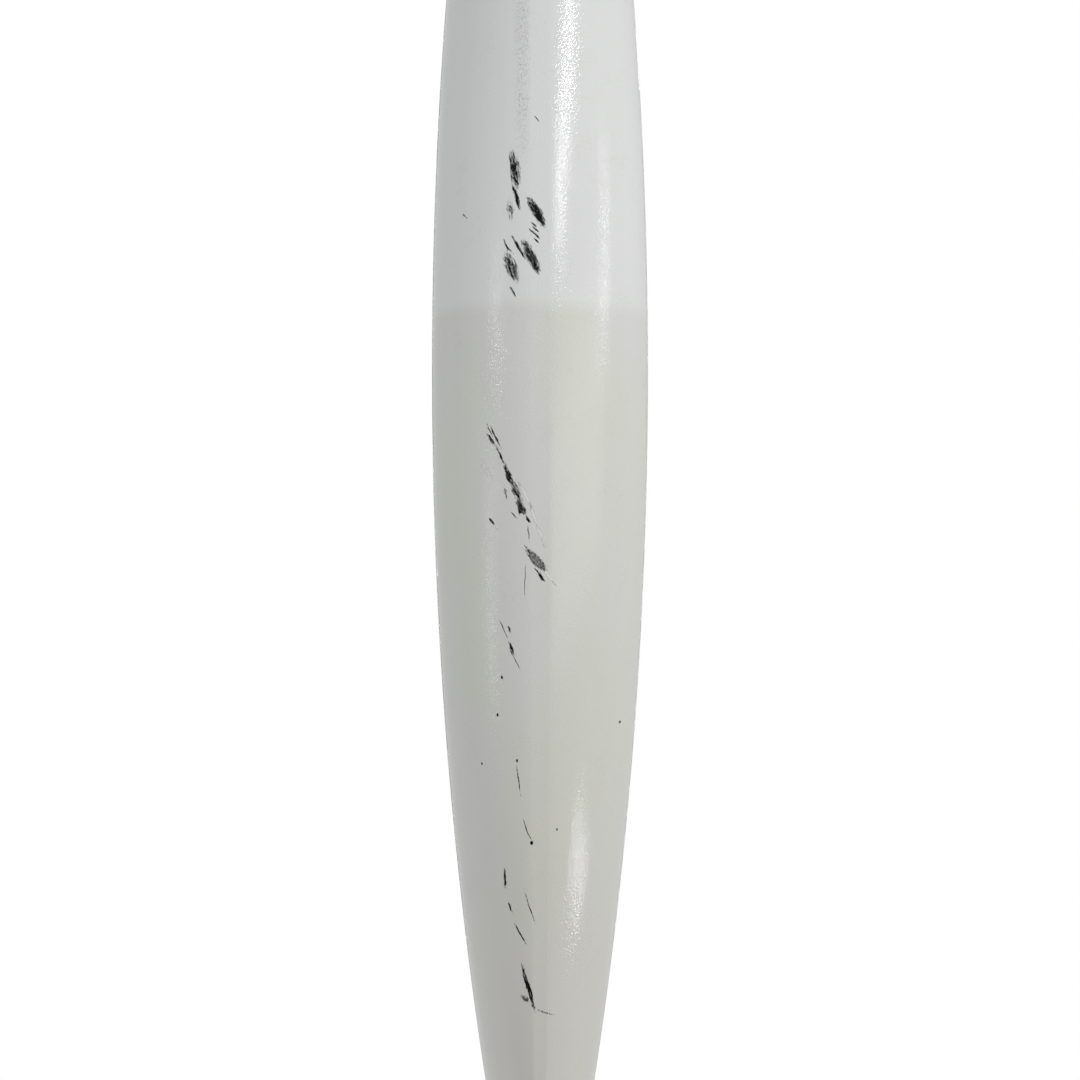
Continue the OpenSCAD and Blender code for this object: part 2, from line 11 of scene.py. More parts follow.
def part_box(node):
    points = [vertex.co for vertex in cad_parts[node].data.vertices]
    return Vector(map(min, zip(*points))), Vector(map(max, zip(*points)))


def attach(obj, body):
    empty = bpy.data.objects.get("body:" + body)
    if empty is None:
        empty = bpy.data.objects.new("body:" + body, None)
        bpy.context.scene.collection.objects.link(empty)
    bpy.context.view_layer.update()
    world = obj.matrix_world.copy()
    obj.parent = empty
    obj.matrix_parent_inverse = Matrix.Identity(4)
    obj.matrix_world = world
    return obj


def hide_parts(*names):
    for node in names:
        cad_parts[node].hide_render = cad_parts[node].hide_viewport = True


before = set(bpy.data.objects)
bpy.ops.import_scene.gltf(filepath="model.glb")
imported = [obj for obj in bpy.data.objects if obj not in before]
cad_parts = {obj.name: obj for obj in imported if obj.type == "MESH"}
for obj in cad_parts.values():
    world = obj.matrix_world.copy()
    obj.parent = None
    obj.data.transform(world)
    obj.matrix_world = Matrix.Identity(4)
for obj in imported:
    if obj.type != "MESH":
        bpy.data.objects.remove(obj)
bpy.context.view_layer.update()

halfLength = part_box("hull_bow")[1].x
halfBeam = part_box("hull_middle")[1].y
print("stage: frame loaded, length", round(2 * halfLength, 3))

# Camera and stage.

viewSetup = {
    "aim": (0.44, 0.0, 0.0),    # the point of the keel over the lens
    "drop": 3.9,                # how far the lens is below the ground
    "lens": 53.2,
    "sensor": 36,               # millimetres, as the lens
    "farthest": 60,
}
lensPlace = np.array((viewSetup["aim"][0], viewSetup["aim"][1], -viewSetup["drop"]))


def makeCamera(setup):
    # straight up at the bottom of the boat, with the stern at the top and port to the left
    data = bpy.data.cameras.new("camera")
    data.lens = setup["lens"]
    data.sensor_width = setup["sensor"]
    data.clip_end = setup["farthest"]
    camera = bpy.data.objects.new("camera", data)
    right, up, back = (0, -1, 0), (-1, 0, 0), (0, 0, -1)
    place = Matrix((right, up, back)).transposed().to_4x4()
    place.translation = lensPlace
    camera.matrix_world = place
    bpy.context.scene.collection.objects.link(camera)
    bpy.context.scene.camera = camera


makeCamera(viewSetup)
bpy.context.scene.view_settings.view_transform = "Standard"
bpy.context.scene.view_settings.look = "None"


def linkSockets(tree, node, inputs):
    # a key is a socket's name with _ for a space, or i and its number
    for key, value in inputs.items():
        numbered = key[0] == "i" and key[1:].isdigit()
        socket = node.inputs[int(key[1:])] if numbered else node.inputs[key.replace("_", " ")]
        if isinstance(value, bpy.types.NodeSocket):
            tree.links.new(value, socket)
        else:
            socket.default_value = value


def addNode(tree, kind, settings=None, **inputs):
    node = tree.nodes.new("ShaderNode" + kind)
    for key, value in (settings or {}).items():
        setattr(node, key, value)
    linkSockets(tree, node, inputs)
    return node


def calc(tree, operation, a, b=0.0, c=0.0):
    return addNode(tree, "Math", {"operation": operation}, i0=a, i1=b, i2=c).outputs[0]


def ramp(tree, value, low, high, start=0.0, stop=1.0):
    # a smooth step from start to stop as value goes from low to high
    kind = {"interpolation_type": "SMOOTHSTEP", "clamp": False}
    return addNode(tree, "MapRange", kind, i0=value, i1=low, i2=high, i3=start, i4=stop).outputs[0]


def noise(tree, place, scale, detail=2.0, rough=0.5):
    return addNode(tree, "TexNoise", None, Vector=place, Scale=scale, Detail=detail,
                   Roughness=rough).outputs["Fac"]


def mixColour(tree, factor, first, second):
    node = addNode(tree, "Mix", {"data_type": "RGBA"}, i0=factor, i6=first, i7=second)
    return node.outputs[2]


def stretch(tree, place, scale, turn=0.0):
    # turns a pattern about Z and stretches it along its own axes
    node = addNode(tree, "Mapping", {"vector_type": "TEXTURE"}, Vector=place)
    node.inputs["Rotation"].default_value = (0, 0, turn)
    node.inputs["Scale"].default_value = tuple(1 / s for s in scale)
    return node.outputs[0]


def makeWorld():
    # for the lens, a backdrop that goes from the floor's grey at the horizon to white overhead;
    # for the lighting, a soft grey that is a little brighter to starboard
    world = bpy.data.worlds.new("studio")
    world.use_nodes = True
    tree = world.node_tree
    tree.nodes.clear()
    way = addNode(tree, "SeparateXYZ", None, Vector=addNode(tree, "TexCoord").outputs["Generated"]).outputs
    low = mixColour(tree, ramp(tree, way["Y"], -0.9, 0.9), (0.53, 0.53, 0.52, 1), (0.43, 0.435, 0.44, 1))
    lit = mixColour(tree, ramp(tree, way["Z"], -0.15, 0.25), low, (0.62, 0.625, 0.63, 1))
    aboveFloor = ramp(tree, way["Z"], -0.01, 0.30)
    sky = mixColour(tree, aboveFloor, (0.47, 0.47, 0.475, 1), (0.80, 0.805, 0.81, 1))
    backdrop = mixColour(tree, ramp(tree, way["Z"], 0.30, 0.80), sky, (1, 1, 1, 1))
    seen = addNode(tree, "LightPath").outputs["Is Camera Ray"]
    shine = addNode(tree, "Background", None, Color=mixColour(tree, seen, lit, backdrop), Strength=1.0)
    out = addNode(tree, "OutputWorld")
    tree.links.new(shine.outputs[0], out.inputs["Surface"])
    bpy.context.scene.world = world


def makeFloor():
    # seen only from above, so that the boat's bottom is open to the lens and the lights below
    half = 450.0
    mesh = bpy.data.meshes.new("floor")
    corners = [(-half, -half, 0), (half, -half, 0), (half, half, 0), (-half, half, 0)]
    mesh.from_pydata(corners, [], [(0, 1, 2, 3)])
    floor = bpy.data.objects.new("floor", mesh)
    bpy.context.scene.collection.objects.link(floor)
    material = bpy.data.materials.new("paleFloor")
    material.use_nodes = True
    tree = material.node_tree
    tree.nodes.clear()
    place = addNode(tree, "TexCoord").outputs["Object"]
    cloud = noise(tree, place, 3.0, 4)
    colour = mixColour(tree, cloud, (0.74, 0.745, 0.75, 1), (0.79, 0.79, 0.79, 1))
    body = addNode(tree, "BsdfDiffuse", None, Color=colour)
    clear = addNode(tree, "BsdfTransparent")
    path = addNode(tree, "LightPath")
    under = addNode(tree, "NewGeometry").outputs["Backfacing"]
    seen = calc(tree, "MULTIPLY", path.outputs["Is Camera Ray"], calc(tree, "SUBTRACT", 1.0, under))
    mix = addNode(tree, "MixShader", None, i0=seen, i1=clear.outputs[0], i2=body.outputs[0])
    out = addNode(tree, "OutputMaterial")
    tree.links.new(mix.outputs[0], out.inputs["Surface"])
    mesh.materials.append(material)


makeWorld()
makeFloor()
print("stage: camera, world and floor")

# The lines of the boat.

lines = {
    "halfBeam": halfBeam,
    "midHeight": 0.250,
    "bowHeight": 0.400,
    "sternHeight": 0.340,
    "rocker": 0.030,
    "keelFlat": 0.022,          # half the flat along the keel
    "tipBreadth": 0.012,
    "tipDepth": 0.060,
    "stemStart": 0.78,
    "skin": 0.003,
    "tipRound": 0.012,
}


def share(x):
    # how far along from the middle to the end, 0 to 1
    return np.abs(x) / halfLength


def breadth(x):
    # half-breadth at the sheer: a parabola along the boat
    return lines["tipBreadth"] + (lines["halfBeam"] - lines["tipBreadth"]) * (1 - share(x) ** 2)


def endHeight(x):
    # height of the sheer at the end that x lies towards
    return np.where(np.asarray(x) > 0, lines["bowHeight"], lines["sternHeight"])


def sheer(x):
    # the edge of the deck, rising to each end as a power of 2.4
    return lines["midHeight"] + (endHeight(x) - lines["midHeight"]) * share(x) ** 2.4


def keel(x):
    # a cubic rocker, and past stemStart the stem rising as a power of 2.2
    rise = np.clip((share(x) - lines["stemStart"]) / (1 - lines["stemStart"]), 0, 1) ** 2.2
    return lines["rocker"] * share(x) ** 3 + (endHeight(x) - lines["rocker"] - lines["tipDepth"]) * rise


def crown(x):
    # height of the deck's ridge over the sheer: a parabola, and a bell ahead of the cockpit
    return 0.012 + 0.028 * (1 - share(x) ** 2) + 0.050 * np.exp(-((x - 0.35) / 0.6) ** 2)


def deckZ(x, y):
    # the deck falls from its ridge to the sheer as a power of 1.8 of the offset
    side = np.clip(np.abs(y) / breadth(x), 0, 1)
    return sheer(x) + crown(x) * (1 - side ** 1.8)


def deckNormal(x, y):
    # the way out of the deck, from its slopes
    step = 0.001
    slopeX = (deckZ(x + step, y) - deckZ(x - step, y)) / (2 * step)
    slopeY = (deckZ(x, y + step) - deckZ(x, y - step)) / (2 * step)
    normal = np.stack(np.broadcast_arrays(-slopeX, -slopeY, np.ones_like(slopeX)), -1)
    return normal / np.linalg.norm(normal, axis=-1, keepdims=True)


def overDeck(x, y, lift):
    # points lifted off the deck along its normals
    x, y = np.broadcast_arrays(np.asarray(x, float), np.asarray(y, float))
    point = np.stack((x, y, deckZ(x, y)), -1)
    return point + np.asarray(lift)[..., None] * deckNormal(x, y)


def tipTaper(x):
    # rounds each end off as a quarter circle, down to a seventh of its breadth
    tip = np.clip((np.abs(x) - (halfLength - lines["tipRound"])) / lines["tipRound"], 0, 1)
    return np.sqrt(1 - 0.98 * tip ** 2)


def hullSurface(x, turn, inset=0.0):
    # turn runs -1 to 1 over the flat of the keel, and on to -2 and 2 at the sheer on a superellipse
    taper = share(x) ** 2
    b = breadth(x) - inset
    flat = np.minimum(b / 2, lines["keelFlat"] * (1 - 0.8 * taper))
    angle = np.clip(np.abs(turn) - 1, 0, 1) * pi / 2
    side = flat * np.clip(np.abs(turn), 0, 1) + (b - flat) * np.sin(angle) ** (1.25 + 0.45 * taper)
    base = keel(x) + inset
    climb = 1 - np.abs(np.cos(angle)) ** (0.83 + 0.17 * taper)
    z = base + (sheer(x) - base) * climb
    return np.stack((x + 0 * turn, np.sign(turn) * side * tipTaper(x), z), -1)


def hullPoint(x, y):
    # the point of the hull over (x, y), and the way out of the skin there
    turns = np.linspace(0, 2, 800)
    row = hullSurface(np.full(800, x), turns)
    turn = np.interp(abs(y), row[:, 1], turns) * (1 if y >= 0 else -1)
    here, ahead, behind = (hullSurface(np.array(x + d), np.array(turn)) for d in (0, 0.002, -0.002))
    left, right = (hullSurface(np.array(x), np.array(turn + d)) for d in (0.002, -0.002))
    out = np.cross(ahead - behind, left - right)
    out /= np.linalg.norm(out)
    return here, out if out[2] < 0 else -out


def mirrorSpot(x, y, reach):
    # where a lamp has to stand, reach metres off, to be seen in the skin at (x, y) from the lens
    here, out = hullPoint(x, y)
    ray = here - lensPlace
    ray /= np.linalg.norm(ray)
    return here + reach * (ray - 2 * (ray @ out) * out)


def areaLight(name, centre, longWay, target, size, glow):
    # a flat lamp facing its target; glow is its brightness, so its power grows with its area
    light = bpy.data.lights.new(name, "AREA")
    light.shape = "RECTANGLE"
    light.size, light.size_y = size
    light.energy = glow * pi * size[0] * size[1]
    holder = bpy.data.objects.new(name, light)
    back = np.subtract(centre, target)
    back /= np.linalg.norm(back)
    side = np.subtract(longWay, np.dot(longWay, back) * back)
    side /= np.linalg.norm(side)
    place = Matrix((side, np.cross(back, side), back)).transposed().to_4x4()
    place.translation = centre
    holder.matrix_world = place
    holder.visible_camera = False
    bpy.context.scene.collection.objects.link(holder)


# Each strip draws one long thin highlight on the bottom, between two points of the skin.
strips = [
    {"name": "stripA", "start": (-0.98, -0.078), "stop": (-0.30, -0.040), "wide": 0.009, "glow": 12},
    {"name": "stripB", "start": (-0.50, -0.160), "stop": (0.00, -0.155), "wide": 0.006, "glow": 7},
    {"name": "stripD", "start": (-0.28, 0.106), "stop": (0.02, 0.106), "wide": 0.004, "glow": 9},
    {"name": "stripE", "start": (0.24, 0.118), "stop": (0.82, 0.118), "wide": 0.005, "glow": 4},
    {"name": "stripF", "start": (1.15, -0.082), "stop": (1.33, -0.104), "wide": 0.004, "glow": 12},
]
stripReach = 2.2            # how far from the skin the strips stand
# A wide soft panel is seen as a pale patch beside the keel.
window = {"start": (-0.05, -0.030), "stop": (0.62, -0.150), "glow": 0.75, "reach": 2.4}
# Two long lamps over the keel's line light the deck, where the sides can't mirror them to the lens.
overhead = [
    {"name": "keyAbove", "centre": (1.6, 0.0, 4.2), "size": (3.6, 0.5), "glow": 8.0},
    {"name": "fillAbove", "centre": (-1.9, 0.0, 4.0), "size": (3.2, 0.5), "glow": 5.5},
]


def makeStrip(strip):
    (x1, y1), (x2, y2) = strip["start"], strip["stop"]
    head, tail = mirrorSpot(x1, y1, stripReach), mirrorSpot(x2, y2, stripReach)
    half = strip["wide"] / 2
    x, y = (x1 + x2) / 2, (y1 + y2) / 2
    wide = np.linalg.norm(mirrorSpot(x, y + half, stripReach) - mirrorSpot(x, y - half, stripReach))
    size = (np.linalg.norm(tail - head), wide)
    areaLight(strip["name"], (head + tail) / 2, tail - head, hullPoint(x, y)[0], size, strip["glow"])


def makeWindow(plan):
    (x1, y1), (x2, y2), reach = plan["start"], plan["stop"], plan["reach"]
    x, y = (x1 + x2) / 2, (y1 + y2) / 2
    ends = mirrorSpot(x1, y, reach), mirrorSpot(x2, y, reach)
    sides = mirrorSpot(x, y1, reach), mirrorSpot(x, y2, reach)
    size = (np.linalg.norm(ends[1] - ends[0]), np.linalg.norm(sides[1] - sides[0]))
    middle = (sides[0] + sides[1]) / 2
    areaLight("window", middle, ends[1] - ends[0], hullPoint(x, y)[0], size, plan["glow"])


def makeLights():
    for strip in strips:
        makeStrip(strip)
    makeWindow(window)
    for lamp in overhead:
        areaLight(lamp["name"], lamp["centre"], (1, 0, 0), (0.2, 0, 0.1), lamp["size"], lamp["glow"])


makeLights()
print("stage: lights")

# Mesh making.


def stations(count, dense=()):
    # even steps that crowd towards the ends, with extra stations in the stretches of dense
    u = np.linspace(-1, 1, count)
    x = halfLength * (1.25 * u - 0.25 * u ** 3)
    for low, high, step in dense:
        x = np.concatenate((x, np.arange(low, high, step)))
    x = np.unique(np.round(x, 5))
    keep = np.concatenate(([True], np.diff(x) > 0.0012))
    return x[keep]


def addObject(name, mesh, materials):
    piece = bpy.data.objects.new(name, mesh)
    bpy.context.scene.collection.objects.link(piece)
    for material in materials:
        mesh.materials.append(material)
    return piece


def faceOut(points, faces):
    # turns every face round if the closed mesh has a negative volume
    tri = np.concatenate((faces[:, (0, 1, 2)], faces[:, (0, 2, 3)]))
    a, b, c = (points[tri[:, i]] for i in range(3))
    volume = np.einsum("ij,ij->", a, np.cross(b, c))
    return faces[:, ::-1] if volume < 0 else faces


def meshFrom(name, points, faces, uv=None, paint=None, materials=(), crease=40, merge=0.0):
    # quads from arrays; paint is one material number for each face; creases past the angle are sharp
    faces = faceOut(points, faces) if paint is None else faces
    mesh = bpy.data.meshes.new(name)
    mesh.vertices.add(len(points))
    mesh.vertices.foreach_set("co", np.ascontiguousarray(points, np.float32).ravel())
    mesh.loops.add(faces.size)
    mesh.loops.foreach_set("vertex_index", np.ascontiguousarray(faces, np.int32).ravel())
    mesh.polygons.add(len(faces))
    mesh.polygons.foreach_set("loop_start", np.arange(0, faces.size, 4, dtype=np.int32))
    if uv is not None:
        layer = mesh.uv_layers.new(name="surface")
        layer.data.foreach_set("uv", np.ascontiguousarray(uv[faces.ravel()], np.float32).ravel())
    if paint is not None:
        mesh.polygons.foreach_set("material_index", np.ascontiguousarray(paint, np.int32))
    mesh.update(calc_edges=True)
    mesh.validate()
    if merge:
        work = bmesh.new()
        work.from_mesh(mesh)
        bmesh.ops.remove_doubles(work, verts=work.verts, dist=merge)
        bmesh.ops.dissolve_degenerate(work, edges=work.edges, dist=merge)
        work.to_mesh(mesh)
        work.free()
    mesh.shade_smooth()
    mesh.set_sharp_from_angle(angle=radians(crease))
    return addObject(name, mesh, materials)


def gridFaces(rows, columns, loopRows=False, loopColumns=False):
    # the quads of a grid of points counted row by row, closed on itself either way if asked
    i = np.arange(rows if loopRows else rows - 1)[:, None]
    j = np.arange(columns if loopColumns else columns - 1)[None, :]
    k, l = (i + 1) % rows, (j + 1) % columns
    here, below = i * columns, k * columns
    quads = np.stack(np.broadcast_arrays(here + j, below + j, below + l, here + l), -1)
    return quads.reshape(-1, 4)


def closeSheets(faces, count):
    # a grid's faces, the same on a second grid turned over, and a wall along every open edge
    edges = np.concatenate([faces[:, (i, (i + 1) % 4)] for i in range(4)])
    code = edges[:, 0] * count + edges[:, 1]
    rim = edges[~np.isin(code, edges[:, 1] * count + edges[:, 0])]
    walls = np.stack((rim[:, 1], rim[:, 0], rim[:, 0] + count, rim[:, 1] + count), -1)
    return np.concatenate((faces, faces[:, ::-1] + count, walls))


def shellFrom(name, outer, inner, keep=None, uv=None, materials=(), crease=40):
    # two matching grids and a wall along every open edge; keep says which cells are there
    rows, columns = outer.shape[:2]
    faces = gridFaces(rows, columns)
    if keep is not None:
        faces = faces[keep.ravel()]
    everyFace = closeSheets(faces, rows * columns)
    points = np.concatenate((outer.reshape(-1, 3), inner.reshape(-1, 3)))
    used = np.zeros(len(points), bool)
    used[everyFace.ravel()] = True
    renumber = np.cumsum(used) - 1
    paint = (np.arange(len(everyFace)) >= len(faces)).astype(int)
    allUv = None if uv is None else np.concatenate((uv.reshape(-1, 2),) * 2)[used]
    everyFace = faceOut(points[used], renumber[everyFace])
    if len(materials) < 2:
        paint[:] = 0
    return meshFrom(name, points[used], everyFace, allUv, paint, materials, crease)


def sweepPart(rings, closed=False, capped=True):
    # quads between rings of points; the ends of an open row are shut by drawing them to their middles
    rings = np.asarray(rings, float)
    if capped and not closed:
        head = np.broadcast_to(rings[:1].mean(1, keepdims=True), rings[:1].shape)
        tail = np.broadcast_to(rings[-1:].mean(1, keepdims=True), rings[-1:].shape)
        rings = np.concatenate((head, rings, tail))
    count, sides = rings.shape[:2]
    gone = np.linalg.norm(np.diff(rings.mean(1), axis=0), axis=1).cumsum()
    gone = np.concatenate(([0], gone))
    uv = np.stack(np.broadcast_arrays(gone[:, None], np.arange(sides)[None, :] / sides), -1)
    return rings.reshape(-1, 3), gridFaces(count, sides, closed, True), uv.reshape(-1, 2)


def tubePart(path, radius, sides=12, closed=False):
    # a round profile carried along a path; open ends close as small domes
    path = np.asarray(path, float)
    radius = np.broadcast_to(np.asarray(radius, float), len(path)).copy()
    if not closed:
        ahead, behind = path[0] - path[1], path[-1] - path[-2]
        ahead, behind = ahead / np.linalg.norm(ahead), behind / np.linalg.norm(behind)
        bulge = np.array((0.98, 0.8, 0.45))
        swell = np.sqrt(1 - bulge ** 2)
        head = path[0] + np.outer(bulge * radius[0], ahead)
        tail = path[-1] + np.outer(bulge[::-1] * radius[-1], behind)
        path = np.concatenate((head, path, tail))
        radius = np.concatenate((radius[0] * swell, radius, radius[-1] * swell[::-1]))
    step = np.roll(path, -1, 0) - np.roll(path, 1, 0)
    if not closed:
        step[0], step[-1] = path[1] - path[0], path[-1] - path[-2]
    step /= np.linalg.norm(step, axis=1, keepdims=True)
    side = np.cross(step[0], (0, 0, 1.0) if abs(step[0][2]) < 0.9 else (0, 1.0, 0))
    sideways = []
    for way in step:
        side = side - (side @ way) * way
        side = side / np.linalg.norm(side)
        sideways.append(side)
    side = np.array(sideways)
    up = np.cross(side, step)
    turn = np.linspace(0, 2 * pi, sides, endpoint=False)[None, :]
    if closed:
        slip = np.arctan2(up[0] @ side[-1], side[0] @ side[-1])
        turn = turn + slip * np.linspace(0, 1, len(path), endpoint=False)[:, None]
    ring = np.cos(turn)[..., None] * side[:, None] + np.sin(turn)[..., None] * up[:, None]
    return sweepPart(path[:, None] + radius[:, None, None] * ring, closed)


def lathePart(profile, sides=32, shape=None):
    # profile pairs of radius and height; shape turns radii into an outline, a circle if there is none
    turn = np.linspace(0, 2 * pi, sides, endpoint=False)
    rings = []
    for radius, height in profile:
        x, y = (radius * np.cos(turn), radius * np.sin(turn)) if shape is None else shape(radius)
        rings.append(np.stack((x, y, np.full(len(x), height)), -1))
    return sweepPart(rings, capped=False)


def movePart(part, place):
    # a part turned and moved by a 4 by 4 matrix
    points, faces, uv = part
    place = np.asarray(place, float)
    return points @ place[:3, :3].T + place[:3, 3], faces, uv


def buildPiece(name, parts, materials, paint=None, crease=40):
    # one object from several closed parts, each turned outwards; paint gives each part's material
    points, faces, uvs, marks, start = [], [], [], [], 0
    for number, (partPoints, partFaces, partUv) in enumerate(parts):
        points.append(partPoints)
        faces.append(faceOut(partPoints, partFaces) + start)
        uvs.append(partUv)
        marks.append(np.full(len(partFaces), paint[number] if paint else 0))
        start += len(partPoints)
    return meshFrom(name, np.concatenate(points), np.concatenate(faces), np.concatenate(uvs),
                    np.concatenate(marks), materials, crease, 0.00002)


def deckFrame(x, y, turn=0.0):
    # a place on the deck, its X along the boat and its Z out of the deck, turned about Z
    slopeX = float(deckZ(x + 0.001, y) - deckZ(x - 0.001, y)) / 0.002
    slopeY = float(deckZ(x, y + 0.001) - deckZ(x, y - 0.001)) / 0.002
    along = Vector((1, 0, slopeX)).normalized()
    out = Vector((-slopeX, -slopeY, 1)).normalized()
    place = Matrix((along, out.cross(along), out)).transposed().to_4x4()
    place.translation = (x, y, float(deckZ(x, y)))
    return place @ Matrix.Rotation(turn, 4, "Z")


def finish(piece, body, slot, *nodes):
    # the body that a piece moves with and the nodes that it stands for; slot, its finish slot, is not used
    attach(piece, body)
    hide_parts(*nodes)
    return piece


# Finishes.


def groupTree(name, inputs, outputs):
    # a shader node group with named float, vector or colour sockets
    tree = bpy.data.node_groups.new(name, "ShaderNodeTree")
    for socketName, kind, value in inputs:
        socket = tree.interface.new_socket(name=socketName, in_out="INPUT", socket_type="NodeSocket" + kind)
        if value is not None:
            socket.default_value = value
    for socketName, kind in outputs:
        tree.interface.new_socket(name=socketName, in_out="OUTPUT", socket_type="NodeSocket" + kind)
    return tree, tree.nodes.new("NodeGroupInput").outputs, tree.nodes.new("NodeGroupOutput").inputs


def useGroup(tree, group, **inputs):
    node = tree.nodes.new("ShaderNodeGroup")
    node.node_tree = group
    linkSockets(tree, node, inputs)
    return node.outputs


def makeScuffGroup():
    # a lens-shaped mark: full along its middle line, ragged and streaky towards its edge
    tree, given, made = groupTree("scuffMark", [
        ("Place", "Vector", None), ("AtX", "Float", 0), ("AtY", "Float", 0), ("Turn", "Float", 0),
        ("HalfLength", "Float", 0.04), ("HalfWidth", "Float", 0.01), ("Ink", "Float", 1.0),
        ("Ragged", "Float", 0.5), ("Streak", "Float", 0.5), ("Before", "Float", 0.0)], [("Mask", "Float")])
    part = addNode(tree, "SeparateXYZ", None, Vector=given["Place"])
    dx = calc(tree, "SUBTRACT", part.outputs["X"], given["AtX"])
    dy = calc(tree, "SUBTRACT", part.outputs["Y"], given["AtY"])
    cosTurn, sinTurn = calc(tree, "COSINE", given["Turn"]), calc(tree, "SINE", given["Turn"])
    along = calc(tree, "ADD", calc(tree, "MULTIPLY", dx, cosTurn), calc(tree, "MULTIPLY", dy, sinTurn))
    across = calc(tree, "SUBTRACT", calc(tree, "MULTIPLY", dy, cosTurn), calc(tree, "MULTIPLY", dx, sinTurn))
    along = calc(tree, "DIVIDE", along, given["HalfLength"])
    across = calc(tree, "DIVIDE", across, given["HalfWidth"])
    reach = calc(tree, "ADD", calc(tree, "MULTIPLY", along, along), calc(tree, "MULTIPLY", across, across))
    body = calc(tree, "SUBTRACT", 1.0, reach)                       # 1 in the middle, 0 at the outline
    body = calc(tree, "MULTIPLY_ADD", calc(tree, "SUBTRACT", given["Ragged"], 0.5), 3.4, body)
    inside = ramp(tree, body, 0.05, 0.30)
    cover = calc(tree, "MULTIPLY_ADD", calc(tree, "SUBTRACT", given["Streak"], 0.5), 5.2, given["Ink"])
    cover = calc(tree, "MULTIPLY_ADD", body, 0.45, cover)
    mask = calc(tree, "MULTIPLY", inside, ramp(tree, cover, 0.70, 1.0))
    tree.links.new(calc(tree, "MAXIMUM", mask, given["Before"]), made["Mask"])
    return tree


def makePeelGroup():
    # the fine ripple and dust of sprayed gelcoat: a height for bump, and a mask of settled dust
    tree, given, made = groupTree("gelcoatPeel", [("Place", "Vector", None)],
                                  [("Height", "Float"), ("Dust", "Float")])
    ripple = noise(tree, given["Place"], 190.0, 1.5, 0.5)
    grit = noise(tree, given["Place"], 700.0, 1.0, 0.5)
    height = calc(tree, "MULTIPLY_ADD", grit, 0.06, ripple)
    dust = calc(tree, "MULTIPLY", noise(tree, given["Place"], 9.0, 5.0, 0.6),
                noise(tree, given["Place"], 160.0, 4.0, 0.7))
    tree.links.new(height, made["Height"])
    tree.links.new(ramp(tree, dust, 0.28, 0.42), made["Dust"])
    return tree


def makeGrainGroup():
    # moulded grain with rubbed patches
    tree, given, made = groupTree("mouldGrain", [("Place", "Vector", None), ("Scale", "Float", 900.0)],
                                  [("Height", "Float"), ("Rubbed", "Float")])
    cells = addNode(tree, "TexVoronoi", {"feature": "F1"}, Vector=given["Place"], Scale=given["Scale"])
    fine = noise(tree, given["Place"], 1500.0, 2.0)
    tree.links.new(calc(tree, "ADD", cells.outputs["Distance"], fine), made["Height"])
    patches = noise(tree, given["Place"], 22.0, 5.0, 0.65)
    tree.links.new(ramp(tree, patches, 0.50, 0.72), made["Rubbed"])
    return tree


def makeWeaveGroup():
    # an over-and-under weave on two coordinates in metres
    tree, given, made = groupTree("weave", [("Place", "Vector", None), ("Pitch", "Float", 0.002)],
                                  [("Height", "Float"), ("Thread", "Float")])
    part = addNode(tree, "SeparateXYZ", None, Vector=given["Place"])
    u = calc(tree, "DIVIDE", part.outputs["X"], given["Pitch"])
    v = calc(tree, "DIVIDE", part.outputs["Y"], given["Pitch"])
    waveU = calc(tree, "ABSOLUTE", calc(tree, "SINE", calc(tree, "MULTIPLY", u, pi)))
    waveV = calc(tree, "ABSOLUTE", calc(tree, "SINE", calc(tree, "MULTIPLY", v, pi)))
    odd = calc(tree, "ADD", calc(tree, "FLOOR", u), calc(tree, "FLOOR", v))
    pick = calc(tree, "PINGPONG", odd, 1.0)
    flip = calc(tree, "SUBTRACT", 1.0, pick)
    height = calc(tree, "ADD", calc(tree, "MULTIPLY", waveU, pick), calc(tree, "MULTIPLY", waveV, flip))
    tree.links.new(height, made["Height"])
    tree.links.new(pick, made["Thread"])
    return tree


scuffGroup = makeScuffGroup()
peelGroup = makePeelGroup()
grainGroup = makeGrainGroup()
weaveGroup = makeWeaveGroup()


def startFinish(name):
    material = bpy.data.materials.new(name)
    material.use_nodes = True
    tree = material.node_tree
    shader = next(n for n in tree.nodes if n.type == "BSDF_PRINCIPLED")
    return material, tree, shader


def addBump(tree, shader, height, strength, distance):
    bump = addNode(tree, "Bump", None, Height=height, Strength=strength, Distance=distance)
    tree.links.new(bump.outputs["Normal"], shader.inputs["Normal"])


markScale = 0.94            # the marks were laid out on a plan a little larger than the boat

